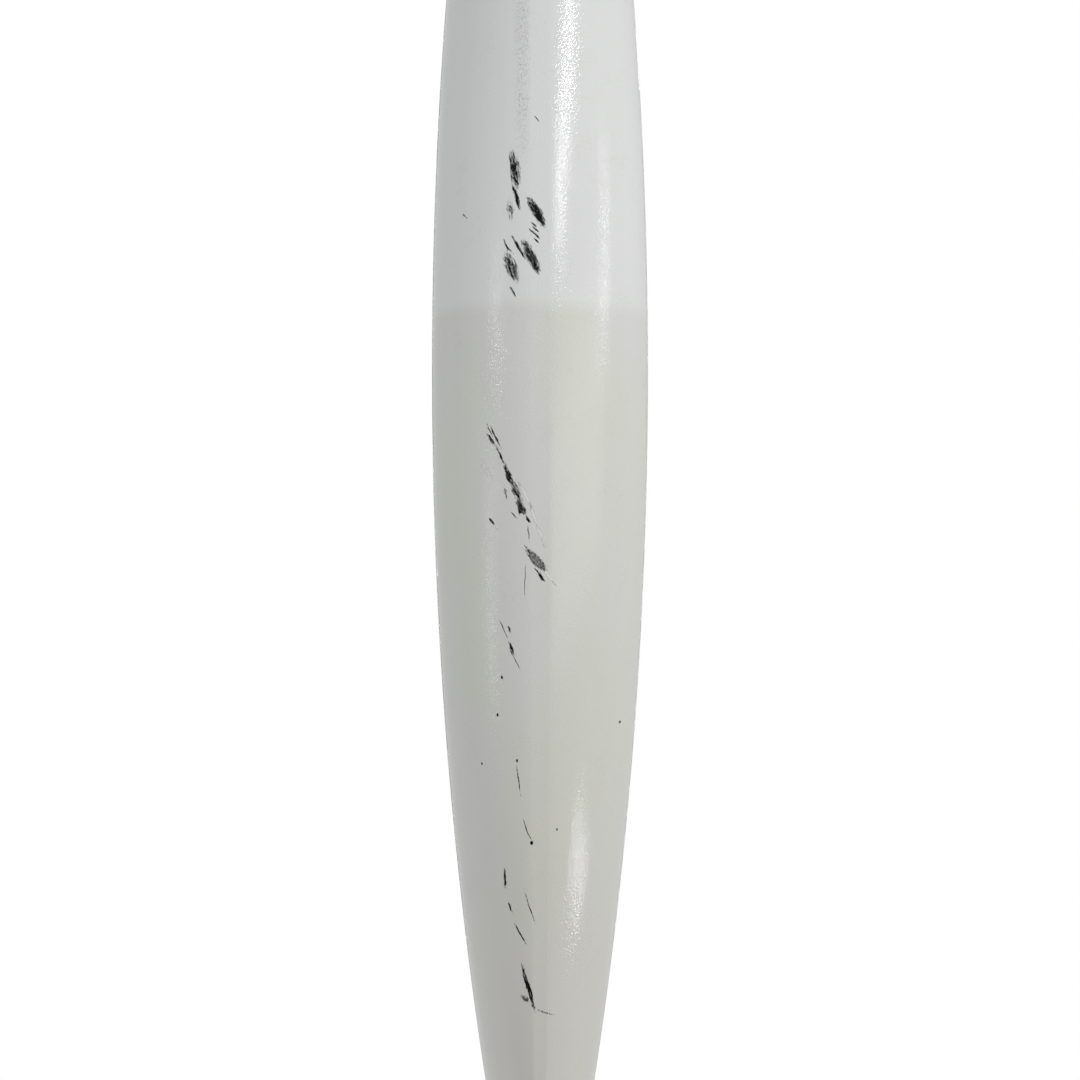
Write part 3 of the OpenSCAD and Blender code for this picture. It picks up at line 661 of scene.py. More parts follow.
# Every mark on the bottom: place, half length, half width, turn from the keel's line, ink and streak set.
hullMarks = [
    # the first scrapes: a streaky tongue with a dense tail, a dense smear, a ladder of dashes
    (-0.500, 0.066, 0.050, 0.0140, -9, 0.66, 0), (-0.486, 0.064, 0.040, 0.0080, -9, 0.84, 0),
    (-0.424, 0.062, 0.036, 0.0056, -17, 1.02, 0), (-0.505, 0.076, 0.038, 0.0036, -6, 0.80, 0),
    (-0.386, 0.010, 0.044, 0.0125, -30, 0.90, 1), (-0.376, 0.006, 0.036, 0.0085, -32, 1.10, 1),
    (-0.352, 0.016, 0.010, 0.0028, -52, 0.90, 1), (-0.340, 0.012, 0.011, 0.0028, -48, 0.86, 1),
    (-0.330, 0.016, 0.010, 0.0026, -50, 0.80, 1), (-0.322, 0.008, 0.011, 0.0028, -52, 0.88, 1),
    (-0.310, 0.010, 0.009, 0.0026, -46, 0.80, 1), (-0.334, 0.022, 0.012, 0.0022, -44, 0.74, 1),
    (-0.268, 0.023, 0.048, 0.0140, -27, 0.82, 1), (-0.258, 0.020, 0.040, 0.0090, -28, 0.96, 1),
    (-0.241, 0.074, 0.042, 0.0155, -20, 0.66, 1), (-0.246, 0.079, 0.034, 0.0060, -14, 0.84, 1),
    (-0.300, 0.060, 0.030, 0.0040, -26, 1.00, 1), (-0.282, 0.051, 0.024, 0.0036, -34, 0.92, 1),
    (-0.300, 0.088, 0.020, 0.0022, -16, 0.86, 1), (-0.290, 0.081, 0.016, 0.0020, -40, 0.80, 1),
    (-0.180, 0.071, 0.018, 0.0030, -30, 0.70, 1), (-0.390, 0.077, 0.030, 0.0100, -10, 0.30, 0),
    # the long gouge
    (0.205, 0.128, 0.019, 0.0046, -35, 1.00, 1), (0.196, 0.117, 0.034, 0.0024, -26, 0.78, 1),
    (0.182, 0.131, 0.020, 0.0018, -26, 0.80, 1), (0.250, 0.103, 0.034, 0.0030, -22, 0.84, 1),
    (0.298, 0.082, 0.040, 0.0062, -23, 0.86, 1), (0.304, 0.080, 0.018, 0.0086, -24, 0.96, 1),
    (0.345, 0.062, 0.034, 0.0105, -22, 0.62, 1), (0.382, 0.050, 0.024, 0.0096, -34, 0.90, 1),
    (0.390, 0.055, 0.012, 0.0050, -10, 0.98, 1), (0.415, 0.031, 0.012, 0.0038, -30, 1.08, 1),
    (0.448, 0.030, 0.022, 0.0013, -8, 0.90, 1), (0.341, 0.091, 0.010, 0.0044, -6, 0.56, 1),
    (0.352, 0.088, 0.012, 0.0022, -12, 0.70, 1), (0.419, 0.126, 0.012, 0.0034, -36, 1.06, 1),
    (0.563, -0.002, 0.017, 0.0044, -34, 1.06, 1), (0.548, 0.009, 0.010, 0.0020, -40, 0.90, 1),
    (0.405, 0.068, 0.014, 0.0016, -40, 0.80, 1), (0.493, 0.033, 0.016, 0.0016, -30, 0.80, 1),
    # thin scratches and dots further forward
    (0.572, 0.039, 0.046, 0.0010, 2, 0.98, 0), (0.698, 0.096, 0.030, 0.0012, -25, 0.92, 1),
    (0.751, 0.073, 0.021, 0.0042, -28, 1.06, 1), (0.700, 0.080, 0.010, 0.0026, -20, 0.96, 1),
    (0.775, 0.066, 0.034, 0.0012, -26, 0.80, 1), (0.926, 0.112, 0.005, 0.0030, 0, 1.20, 0),
    (0.827, 0.099, 0.005, 0.0030, 0, 1.20, 0), (1.256, 0.021, 0.006, 0.0044, 0, 1.20, 0),
    (0.954, -0.213, 0.004, 0.0030, 0, 1.00, 0), (1.058, 0.153, 0.004, 0.0028, 0, 1.10, 0),
    (1.043, 0.060, 0.005, 0.0030, 0, 1.20, 0), (1.222, -0.044, 0.004, 0.0026, 0, 1.00, 0),
    (1.092, 0.056, 0.040, 0.0014, -9, 1.02, 0), (1.222, 0.034, 0.029, 0.0015, -22, 1.00, 0),
    (1.352, 0.091, 0.027, 0.0030, -2, 1.05, 0), (1.430, 0.078, 0.014, 0.0030, -22, 0.94, 0),
    (1.495, 0.051, 0.030, 0.0022, -29, 0.98, 1), (1.427, 0.026, 0.050, 0.0014, -17, 0.74, 0),
    (1.634, 0.031, 0.064, 0.0060, -17, 1.05, 0), (1.664, 0.040, 0.014, 0.0070, -60, 0.62, 0),
    (1.699, -0.014, 0.026, 0.0026, -70, 0.50, 0), (-0.628, 0.009, 0.011, 0.0014, -38, 0.90, 1),
    (-0.390, 0.200, 0.006, 0.0028, -40, 0.76, 0), (-0.383, 0.193, 0.004, 0.0022, 0, 0.66, 0),
]
# Gelcoat pushed up in thin lips beside the gouges, drawn like the marks; their colour is painted paler as a
# painted highlight along each ridge.
raisedLips = [
    (0.350, 0.038, 0.038, 0.0042, -27), (0.408, 0.014, 0.034, 0.0036, -19),
    (0.452, -0.001, 0.034, 0.0030, -17), (0.556, -0.018, 0.036, 0.0038, -37),
    (0.430, 0.118, 0.016, 0.0020, -36), (0.232, 0.118, 0.026, 0.0018, -32),
    (0.286, 0.146, 0.020, 0.0014, -30), (0.274, 0.140, 0.020, 0.0012, -34),
    (0.292, 0.134, 0.016, 0.0012, -30), (0.500, 0.024, 0.022, 0.0022, -45),
]
# The one place where the gelcoat is gone: dark glass in a darker outline.
gouge = {"at": (0.520, 0.011), "half": (0.037, 0.0115), "turn": -43}


def placeMark(tree, mark, place, ragged, streak, before=0.0):
    # one mark of the plan as a mask, joined to the marks before it
    atX, atY, halfLong, halfWide = (value * markScale for value in mark[:4])
    turn, ink = mark[4:]
    return useGroup(tree, scuffGroup, Place=place, AtX=atX, AtY=atY, Turn=turn * radians(1),
                    HalfLength=halfLong, HalfWidth=halfWide, Ink=ink, Ragged=ragged, Streak=streak,
                    Before=before)["Mask"]


def strongest(tree, masks):
    # the largest of several masks at every point
    top = masks[0]
    for mask in masks[1:]:
        top = calc(tree, "MAXIMUM", top, mask)
    return top


def hullGelcoat():
    # white gelcoat, painted lighter and cooler aft as a painted pool of light and cool reflection, and
    # painted warmer forward as a painted reflection of warm surroundings; worn along the keel, with every
    # mark drawn in
    material, tree, shader = startFinish("hullGelcoat")
    place = addNode(tree, "TexCoord").outputs["Object"]
    part = addNode(tree, "SeparateXYZ", None, Vector=place)
    x, y = part.outputs["X"], part.outputs["Y"]
    peel = useGroup(tree, peelGroup, Place=place)
    zones = noise(tree, stretch(tree, place, (0.9, 3.0, 1.0)), 1.6, 1.0)
    zones = ramp(tree, zones, 0.40, 0.62)
    colour = mixColour(tree, zones, (0.800, 0.805, 0.785, 1), (0.790, 0.800, 0.735, 1))
    # painted light: aft of a ragged line near x = -0.1 the bottom is painted lighter and cooler, where a
    # lamp lit it more
    litEdgeX = calc(tree, "MULTIPLY_ADD", noise(tree, place, 7.0, 2.0), 0.05, x)
    aft = ramp(tree, litEdgeX, -0.085, -0.135)
    colour = mixColour(tree, aft, colour, (0.865, 0.875, 0.870, 1))
    # painted reflection: towards the bow the bottom is tinted warm, as if it mirrored warm surroundings
    warmReflection = calc(tree, "MULTIPLY", ramp(tree, x, 0.7, 1.8), 0.60)
    colour = mixColour(tree, warmReflection, colour, (0.775, 0.745, 0.680, 1))
    colour = mixColour(tree, calc(tree, "MULTIPLY", peel["Dust"], 0.14), colour, (0.56, 0.55, 0.50, 1))
    # the worn band beside the keel: fine dark specks that fade out forward
    bandEdge = calc(tree, "ABSOLUTE", calc(tree, "SUBTRACT", y, 0.044))
    band = calc(tree, "SUBTRACT", 1.0, ramp(tree, bandEdge, 0.004, 0.026))
    band = calc(tree, "MULTIPLY", band, ramp(tree, x, -0.42, -0.62))
    specks = ramp(tree, noise(tree, stretch(tree, place, (0.6, 1.2, 1.0)), 330.0, 3.0, 0.7), 0.50, 0.62)
    worn = calc(tree, "MULTIPLY", band, specks)
    colour = mixColour(tree, calc(tree, "MULTIPLY", worn, 0.60), colour, (0.36, 0.35, 0.31, 1))
    # marks: a little wander in their middle lines, ragged edges, and streaks along each set's lay
    wander = calc(tree, "MULTIPLY_ADD", noise(tree, place, 26.0, 3.0), 0.010, -0.005)
    bent = addNode(tree, "VectorMath", {"operation": "ADD"}, i0=place,
                   i1=addNode(tree, "CombineXYZ", None, Y=wander).outputs[0]).outputs[0]
    ragged = noise(tree, stretch(tree, place, (0.3, 1.7, 1.0), radians(-25)), 300.0, 4.0, 0.75)
    streaks = [noise(tree, stretch(tree, place, (70, 620, 100), radians(turn)), 1.0, 4.0, 0.75)
               for turn in (-7, -29)]
    ink, lip = 0.0, 0.0
    for mark in hullMarks:
        ink = placeMark(tree, mark[:6], bent, ragged, streaks[mark[6]], ink)
    for mark in raisedLips:
        lip = placeMark(tree, (*mark, 1.6), bent, ragged, streaks[1], lip)
    grooves = noise(tree, stretch(tree, place, (160, 420, 100), radians(-40)), 1.0, 2.0)
    halfLong, halfWide = gouge["half"]
    outlines = [(*gouge["at"], halfLong * k, halfWide * k, gouge["turn"], 2.2) for k in (1.0, 0.78)]
    patch = [placeMark(tree, outline, bent, ragged, grooves) for outline in outlines]
    scored = ramp(tree, grooves, 0.50, 0.60)
    bareTone = mixColour(tree, scored, (0.135, 0.13, 0.145, 1), (0.42, 0.42, 0.41, 1))
    bareTone = mixColour(tree, patch[1], (0.030, 0.028, 0.030, 1), bareTone)
    # painted highlight: the raised lips are painted paler than the gelcoat around them
    colour = mixColour(tree, calc(tree, "MULTIPLY", lip, 0.8), colour, (0.93, 0.93, 0.91, 1))
    colour = mixColour(tree, ink, colour, (0.006, 0.006, 0.006, 1))
    colour = mixColour(tree, patch[0], colour, bareTone)
    tree.links.new(colour, shader.inputs["Base Color"])
    dull = strongest(tree, [ink, patch[0], calc(tree, "MULTIPLY", worn, 0.7)])
    # metallic takes the gelcoat's shine off the black marks, so that they stay black
    tree.links.new(calc(tree, "MULTIPLY", ink, 0.85), shader.inputs["Metallic"])
    rough = calc(tree, "MULTIPLY_ADD", dull, 0.5, 0.08)
    tree.links.new(calc(tree, "MULTIPLY_ADD", peel["Dust"], 0.08, rough), shader.inputs["Roughness"])
    shader.inputs["IOR"].default_value = 1.62
    height = calc(tree, "MULTIPLY_ADD", ink, -1.0, peel["Height"])
    height = calc(tree, "MULTIPLY_ADD", patch[0], -2.0, height)
    height = calc(tree, "MULTIPLY_ADD", lip, 2.5, height)
    addBump(tree, shader, height, 0.9, 0.0007)
    return material


def deckGelcoat():
    # white gelcoat under a clear gloss, with settled dust and a few hair scratches in patches
    material, tree, shader = startFinish("deckGelcoat")
    place = addNode(tree, "TexCoord").outputs["Object"]
    peel = useGroup(tree, peelGroup, Place=place)
    zones = ramp(tree, noise(tree, place, 1.3, 2.0), 0.35, 0.65)
    colour = mixColour(tree, zones, (0.805, 0.805, 0.79, 1), (0.785, 0.79, 0.765, 1))
    colour = mixColour(tree, calc(tree, "MULTIPLY", peel["Dust"], 0.14), colour, (0.55, 0.53, 0.48, 1))
    hair = addNode(tree, "TexWave", {"wave_type": "BANDS"}, Scale=7.0, Distortion=14.0, Detail=3.0,
                   Vector=stretch(tree, place, (1, 6, 1), 0.6)).outputs["Fac"]
    handled = ramp(tree, noise(tree, place, 5.0, 3.0), 0.5, 0.6)
    scratch = calc(tree, "MULTIPLY", ramp(tree, hair, 0.985, 1.0), handled)
    colour = mixColour(tree, calc(tree, "MULTIPLY", scratch, 0.35), colour, (0.50, 0.50, 0.48, 1))
    tree.links.new(colour, shader.inputs["Base Color"])
    tree.links.new(calc(tree, "MULTIPLY_ADD", peel["Dust"], 0.15, 0.2), shader.inputs["Roughness"])
    shader.inputs["Coat Weight"].default_value = 1.0
    shader.inputs["Coat Roughness"].default_value = 0.07
    addBump(tree, shader, peel["Height"], 0.22, 0.0002)
    return material


def insideLaminate():
    # glass cloth showing through a thin coat of resin
    material, tree, shader = startFinish("insideLaminate")
    place = addNode(tree, "TexCoord").outputs["Object"]
    cloth = useGroup(tree, weaveGroup, Place=stretch(tree, place, (1, 1, 1), 0.785), Pitch=0.005)
    stain = ramp(tree, noise(tree, place, 6.0, 4.0), 0.35, 0.7)
    colour = mixColour(tree, stain, (0.60, 0.59, 0.52, 1), (0.50, 0.47, 0.36, 1))
    colour = mixColour(tree, calc(tree, "MULTIPLY", cloth["Thread"], 0.3), colour, (0.68, 0.68, 0.62, 1))
    tree.links.new(colour, shader.inputs["Base Color"])
    tree.links.new(calc(tree, "MULTIPLY_ADD", stain, 0.2, 0.3), shader.inputs["Roughness"])
    addBump(tree, shader, cloth["Height"], 0.5, 0.0004)
    return material


def blackGelcoat():
    # glossy black, rubbed greyer in patches and dusty
    material, tree, shader = startFinish("blackGelcoat")
    place = addNode(tree, "TexCoord").outputs["Object"]
    peel = useGroup(tree, peelGroup, Place=place)
    rubbed = ramp(tree, noise(tree, place, 14.0, 5.0, 0.7), 0.48, 0.70)
    colour = mixColour(tree, rubbed, (0.016, 0.016, 0.018, 1), (0.045, 0.045, 0.046, 1))
    colour = mixColour(tree, calc(tree, "MULTIPLY", peel["Dust"], 0.3), colour, (0.16, 0.155, 0.14, 1))
    tree.links.new(colour, shader.inputs["Base Color"])
    tree.links.new(calc(tree, "MULTIPLY_ADD", rubbed, 0.25, 0.16), shader.inputs["Roughness"])
    addBump(tree, shader, peel["Height"], 0.25, 0.0002)
    return material


def mouldedBlack(name, tone, scale, low, high):
    # plastic, rubber or webbing with a fine grain; rubbed patches are greyer and rougher, from low to high
    material, tree, shader = startFinish(name)
    place = addNode(tree, "TexCoord").outputs["Object"]
    grain = useGroup(tree, grainGroup, Place=place, Scale=scale)
    fresh, worn = (tone, tone, tone * 1.05, 1), (tone * 2.2, tone * 2.2, tone * 2.1, 1)
    colour = mixColour(tree, grain["Rubbed"], fresh, worn)
    tree.links.new(colour, shader.inputs["Base Color"])
    tree.links.new(calc(tree, "MULTIPLY_ADD", grain["Rubbed"], high - low, low), shader.inputs["Roughness"])
    addBump(tree, shader, grain["Height"], 0.3, 0.0002)
    return material


def padCloth():
    # neoprene-faced foam
    material, tree, shader = startFinish("padCloth")
    place = addNode(tree, "TexCoord").outputs["Object"]
    cloth = useGroup(tree, weaveGroup, Place=place, Pitch=0.0016)
    fade = ramp(tree, noise(tree, place, 16.0, 4.0), 0.4, 0.7)
    colour = mixColour(tree, fade, (0.022, 0.022, 0.024, 1), (0.050, 0.050, 0.052, 1))
    colour = mixColour(tree, calc(tree, "MULTIPLY", cloth["Thread"], 0.25), colour, (0.075, 0.075, 0.078, 1))
    tree.links.new(colour, shader.inputs["Base Color"])
    tree.links.new(calc(tree, "MULTIPLY_ADD", fade, 0.12, 0.72), shader.inputs["Roughness"])
    shader.inputs["Sheen Weight"].default_value = 0.25
    addBump(tree, shader, cloth["Height"], 0.5, 0.0003)
    return material


def braid(name, tone, fleck):
    # a braided sheath on the cord's own map: metres along, turns round
    material, tree, shader = startFinish(name)
    spot = addNode(tree, "UVMap", {"uv_map": "surface"}).outputs[0]
    part = addNode(tree, "SeparateXYZ", None, Vector=spot)
    along = calc(tree, "MULTIPLY", part.outputs["X"], 260.0)
    turns = calc(tree, "MULTIPLY", part.outputs["Y"], 8.0)
    left = calc(tree, "SINE", calc(tree, "MULTIPLY", calc(tree, "ADD", along, turns), pi))
    right = calc(tree, "SINE", calc(tree, "MULTIPLY", calc(tree, "SUBTRACT", along, turns), pi))
    height = calc(tree, "MAXIMUM", calc(tree, "ABSOLUTE", left), calc(tree, "ABSOLUTE", right))
    threads = calc(tree, "PINGPONG", calc(tree, "FLOOR", calc(tree, "ADD", along, turns)), 4.0)
    picked = ramp(tree, threads, 3.4, 3.6)
    colour = mixColour(tree, picked, tone, fleck)
    # painted shade: the crevices between the strands are darkened towards black
    between = calc(tree, "MULTIPLY", ramp(tree, height, 0.9, 0.55), 0.6)
    colour = mixColour(tree, between, colour, (0.01, 0.01, 0.01, 1))
    tree.links.new(colour, shader.inputs["Base Color"])
    tree.links.new(calc(tree, "MULTIPLY_ADD", height, -0.15, 0.75), shader.inputs["Roughness"])
    addBump(tree, shader, height, 0.6, 0.0004)
    return material


def brushedMetal(name, tone, stretchBy):
    # drawn or brushed metal: tone, roughness and height follow one stretched noise
    material, tree, shader = startFinish(name)
    place = addNode(tree, "TexCoord").outputs["Object"]
    lay = noise(tree, stretch(tree, place, stretchBy), 1.0, 3.0)
    tint = mixColour(tree, lay, tuple(0.86 * t for t in tone) + (1,), tone + (1,))
    tree.links.new(tint, shader.inputs["Base Color"])
    shader.inputs["Metallic"].default_value = 1.0
    tree.links.new(calc(tree, "MULTIPLY_ADD", lay, 0.22, 0.18), shader.inputs["Roughness"])
    addBump(tree, shader, lay, 0.15, 0.0001)
    return material


finishes = {
    "hull": hullGelcoat(),
    "deck": deckGelcoat(),
    "inside": insideLaminate(),
    "blackGelcoat": blackGelcoat(),
    "blackPlastic": mouldedBlack("blackPlastic", 0.022, 900.0, 0.38, 0.55),
    "hatchRubber": mouldedBlack("hatchRubber", 0.018, 1400.0, 0.55, 0.78),
    "padCloth": padCloth(),
    "webbing": mouldedBlack("webbing", 0.016, 500.0, 0.75, 0.85),
    "deckLine": braid("deckLineBraid", (0.020, 0.020, 0.022, 1), (0.45, 0.46, 0.47, 1)),
    "shockCord": braid("shockCordBraid", (0.018, 0.018, 0.020, 1), (0.10, 0.10, 0.11, 1)),
    "stainless": brushedMetal("stainless", (0.62, 0.63, 0.64), (120, 900, 900)),
    "anodised": brushedMetal("anodised", (0.46, 0.47, 0.49), (60, 700, 700)),
}
print("stage: finishes")

# Hull and deck.

skegSlot = {"middle": -1.754, "halfLong": 0.210, "halfWide": 0.006}


def hullUv(points):
    # metres along the boat, and metres round the section from its keel
    stepLength = np.linalg.norm(np.diff(points, axis=1), axis=2)
    girth = np.concatenate((np.zeros((len(points), 1)), np.cumsum(stepLength, axis=1)), axis=1)
    girth -= girth[:, girth.shape[1] // 2][:, None]
    return np.stack((points[..., 0], girth), -1)


def makeHull():
    # the lines as two skins, with points near the skeg's slot pushed to its outline and the slot left open
    x = stations(300, dense=((-0.52, -0.16, 0.006), (0.15, 0.56, 0.005)))
    turn = np.concatenate((np.linspace(-2, -1, 40)[:-1], np.linspace(-1, 1, 9), np.linspace(1, 2, 40)[1:]))
    gridX, gridTurn = np.meshgrid(x, turn, indexing="ij")
    outer = hullSurface(gridX, gridTurn)
    inner = hullSurface(gridX, gridTurn, lines["skin"])
    reachX = (outer[..., 0] - skegSlot["middle"]) / skegSlot["halfLong"]
    reachY = outer[..., 1] / skegSlot["halfWide"]
    low = outer[..., 2] < 0.1
    inSlot = (np.abs(reachX) < 1) & (np.abs(reachY) < 1) & low
    corners = inSlot[:-1, :-1] & inSlot[1:, :-1] & inSlot[:-1, 1:] & inSlot[1:, 1:]
    sideways = inSlot & (np.abs(reachY) >= np.abs(reachX) ** 6)
    endways = inSlot & ~sideways
    for grid in (outer, inner):
        grid[..., 1] = np.where(sideways, np.sign(reachY) * skegSlot["halfWide"], grid[..., 1])
        pushed = skegSlot["middle"] + np.sign(reachX) * skegSlot["halfLong"]
        grid[..., 0] = np.where(endways, pushed, grid[..., 0])
    skins = (finishes["hull"], finishes["inside"])
    piece = shellFrom("hullShell", outer, inner, ~corners, hullUv(outer), skins)
    finish(piece, "boat", "white_gelcoat", "hull_bow", "hull_middle", "hull_stern")


makeHull()
print("stage: hull")

cockpit = {
    "middle": -0.110, "half": 0.400, "wide": 0.185, "taper": 0.045, "backZ": 0.3231, "frontZ": 0.3659,
    "wall": 0.005, "lip": 0.028,
}
hatches = {
    "front": {"x": 1.250, "radius": 0.120, "long": 0.0},
    "day": {"x": -0.770, "radius": 0.100, "long": 0.0},
    "rear": {"x": -1.400, "radius": 0.110, "long": 0.180},
}


def rimHalf(x):
    # half-width of the cockpit: a fat ellipse, narrower in front
    c = np.clip((x - cockpit["middle"]) / cockpit["half"], -1, 1)
    return (cockpit["wide"] - cockpit["taper"] * c) * (1 - c * c) ** 0.425


def rimOutline(count, offset):
    # points round the cockpit, moved out by offset, and the way out at each
    turn = np.linspace(0, 2 * pi, count, endpoint=False)

    def at(angle):
        x = cockpit["middle"] + cockpit["half"] * np.cos(angle)
        return np.stack((x, np.sign(np.sin(angle)) * rimHalf(x)), -1)

    way = at(turn + 0.012) - at(turn - 0.012)
    way /= np.linalg.norm(way, axis=1, keepdims=True)
    out = np.stack((way[:, 1], -way[:, 0]), -1)
    return at(turn) + offset * out, out


def rimHeight(x):
    # the rim is straight from back to front, higher in front
    part = (x - cockpit["middle"] + cockpit["half"]) / (2 * cockpit["half"])
    return cockpit["backZ"] + (cockpit["frontZ"] - cockpit["backZ"]) * part


def roundEnded(radius, long, count=120):
    # a circle, or a straight-sided outline with round ends
    turn = np.linspace(0, 2 * pi, count, endpoint=False) + pi / count
    x, y = radius * np.cos(turn), radius * np.sin(turn)
    return x + np.sign(np.cos(turn)) * long / 2, y


def insideOf(outline, x, y):
    # which points lie inside a closed outline, by counting the edges they cross
    inside = np.zeros(np.shape(x), bool)
    for (ax, ay), (bx, by) in zip(outline, np.roll(outline, -1, 0)):
        if ay != by:
            inside ^= ((ay > y) != (by > y)) & (x < (bx - ax) * (y - ay) / (by - ay) + ax)
    return inside


def makeDeck():
    # the crowned deck as two skins, open at the cockpit and hatches: points inside go to the outline
    dense = [(-0.53, 0.31, 0.007)]
    for hatch in hatches.values():
        reach = hatch["long"] / 2 + 0.14
        dense.append((hatch["x"] - reach, hatch["x"] + reach, 0.006))
    x = stations(240, dense=dense)
    across = np.linspace(-1, 1, 71)
    gridX, gridS = np.meshgrid(x, across, indexing="ij")
    gridY = breadth(gridX) * gridS
    holes = [rimOutline(720, 0.001)[0]]
    for hatch in hatches.values():
        hx, hy = roundEnded(hatch["radius"] + 0.0003, hatch["long"], 240)
        holes.append(np.stack((hx + hatch["x"], hy), -1))
    dropped = np.zeros((gridX.shape[0] - 1, gridX.shape[1] - 1), bool)
    for outline in holes:
        inside = insideOf(outline, gridX, gridY)
        dropped |= inside[:-1, :-1] & inside[1:, :-1] & inside[:-1, 1:] & inside[1:, 1:]
        spots = np.stack((gridX[inside], gridY[inside]), -1)
        nearest = np.linalg.norm(spots[:, None] - outline[None], axis=2).argmin(1)
        gridX[inside], gridY[inside] = outline[nearest].T
    side = np.clip(np.abs(gridY) / breadth(gridX), 0, 1)
    dome = 1 - side ** 1.8
    roundOff = tipTaper(gridX)
    outer = np.stack((gridX, gridY * roundOff, sheer(gridX) + crown(gridX) * dome), -1)
    innerY = gridY * (1 - lines["skin"] / breadth(gridX)) * roundOff
    inner = np.stack((gridX, innerY, sheer(gridX) + (crown(gridX) - lines["skin"]) * dome), -1)
    piece = shellFrom("deckShell", outer, inner, ~dropped, None, (finishes["deck"], finishes["inside"]))
    finish(piece, "boat", "white_gelcoat", "deck_bow", "deck_middle", "deck_stern")


def makeSeamBand():
    # a strip of glass tape over the joint, its edges feathered and its lay a little uneven
    x = stations(260)
    x = np.concatenate(([-halfLength + 0.01], x[np.abs(x) < halfLength - 0.02], [halfLength - 0.01]))
    profile = [(0.0002, 0.002), (0.0012, 0.0018), (0.0019, 0.0), (0.002, -0.004), (0.002, -0.013),
               (0.0018, -0.0165), (0.0010, -0.0178), (0.0002, -0.018)]
    wave = 0.0005 * np.sin(x * 37) + 0.0004 * np.sin(x * 11.3)
    parts = []
    for side in (1, -1):
        rings = [np.stack((x, side * (breadth(x) + out), sheer(x) + up + wave * (up < -0.01)), -1)
                 for out, up in profile]
        parts.append(sweepPart(np.stack(rings, 1)))
    finish(buildPiece("seamBand", parts, (finishes["deck"],)), "boat", "white_gelcoat", "seam_band")


def makeCoaming():
    # a wall standing on the deck, rolled over into a lip that holds a spraydeck
    spots, out = rimOutline(320, 0.0)
    foot = deckZ(spots[:, 0], spots[:, 1]) + 0.0006
    top = rimHeight(spots[:, 0])
    wall, edge = cockpit["wall"], cockpit["wall"] + cockpit["lip"]
    # offset, share of the way from the deck to the rim's height, and height over that
    profile = [
        (0.0, 0, 0.0), (0.0, 0.5, 0.0), (0.0, 1, 0.002), (0.0006, 1, 0.0038), (0.0022, 1, 0.0049),
        (0.005, 1, 0.005), (0.016, 1, 0.0045), (edge - 0.006, 1, 0.005), (edge - 0.002, 1, 0.0046),
        (edge - 0.0004, 1, 0.0034), (edge, 1, 0.0018), (edge - 0.0006, 1, 0.0005), (edge - 0.003, 1, 0.0),
        (wall + 0.010, 1, 0.0001), (wall + 0.004, 1, -0.0008), (wall + 0.001, 1, -0.0035), (wall, 1, -0.008),
        (wall, 0.4, 0.0), (wall + 0.0008, 0.1, 0.001), (wall + 0.003, 0, 0.0),
    ]
    rings = []
    for offset, rise, lift in profile:
        height = foot + (top - foot) * rise + lift
        rings.append(np.concatenate((spots + offset * out, height[:, None]), 1))
    part = sweepPart(np.stack(rings, 1), closed=True)
    finish(buildPiece("coamingRim", [part], (finishes["blackGelcoat"],), crease=55), "boat", "black_gelcoat",
           "coaming_fore", "coaming_aft")


def makeHatchCover(name, hatch):
    # a rubber lid: a rolled skirt round the rim, a bead at the edge and three raised rings on top
    radius, long = hatch["radius"], hatch["long"]
    skirt = [(7.5, 4.2), (8.6, 3.9), (10.6, 4.0), (11.4, 5.0), (11.5, 7.0), (11.0, 8.4), (11.0, 12.0),
             (11.5, 13.6), (11.4, 15.6), (10.6, 17.2), (9.2, 18.1), (7.4, 18.3), (5.6, 17.9), (4.4, 17.0),
             (3.0, 16.6)]                                               # millimetres out and up
    profile = [(radius + out / 1000, up / 1000) for out, up in skirt]
    for part in np.linspace(0.99, 0.0, 46):
        ridges = sum(np.exp(-((part - at) / 0.022) ** 2) for at in (0.82, 0.62, 0.42))
        profile.append((radius * part, 0.0166 + 0.0011 * ridges + 0.0006 * (1 - part ** 2)))
    inside = [(0.0, 0.0143), (radius * 0.5, 0.0143), (radius + 0.0070, 0.0143), (radius + 0.0075, 0.0138),
              (radius + 0.0075, 0.0042)]
    part = lathePart(profile + inside, shape=lambda r: roundEnded(r, long, 144))
    part = movePart(part, deckFrame(hatch["x"], 0.0))
    piece = buildPiece(name + "Lid", [part], (finishes["hatchRubber"],), crease=50)
    finish(piece, name + "_cover", "hatch_rubber", name + "_hatch_cover")


makeDeck()
makeSeamBand()
makeCoaming()
for hatchName, hatchPlan in hatches.items():
    makeHatchCover(hatchName, hatchPlan)
print("stage: deck, rim and hatches")

# Deck fittings.

cordRadius = 0.003
bungeeInset = 0.080         # from the sheer to the fore bungee's eyes
bungeeY = 0.150             # the aft bungees' eyes, from the ridge
foreEyes = (0.400, 0.800, 1.250, 1.700, 2.150)
aftEyes = (-0.620, -1.100, -1.600, -2.100)
foreBungee = (0.560, 0.900)
aftBungee = (-0.590, -0.950)
lineLift = 0.0077           # the middle of a cord over the deck where it passes an eye


def edgeY(x, inset=0.040):
    # how far out a fitting stands that is inset from the sheer
    return float(breadth(x)) - inset


def eyeParts():
    # a domed foot, and an arch whose feet flare into it
    foot = lathePart([(0, -0.0006), (0.0196, -0.0006), (0.020, 0.0008), (0.0198, 0.0024), (0.0186, 0.0036),
                      (0.0160, 0.0042), (0.0080, 0.0044), (0, 0.0045)], 40)
    turn = np.linspace(-0.12, pi + 0.12, 33)
    arch = np.stack((0 * turn, 0.012 * np.cos(turn), 0.002 + 0.012 * np.sin(turn)), -1)
    flare = 0.0025 + 0.0016 * np.exp(-np.minimum(turn + 0.12, pi + 0.12 - turn) / 0.22)
    return [foot, tubePart(arch, flare, 14)]


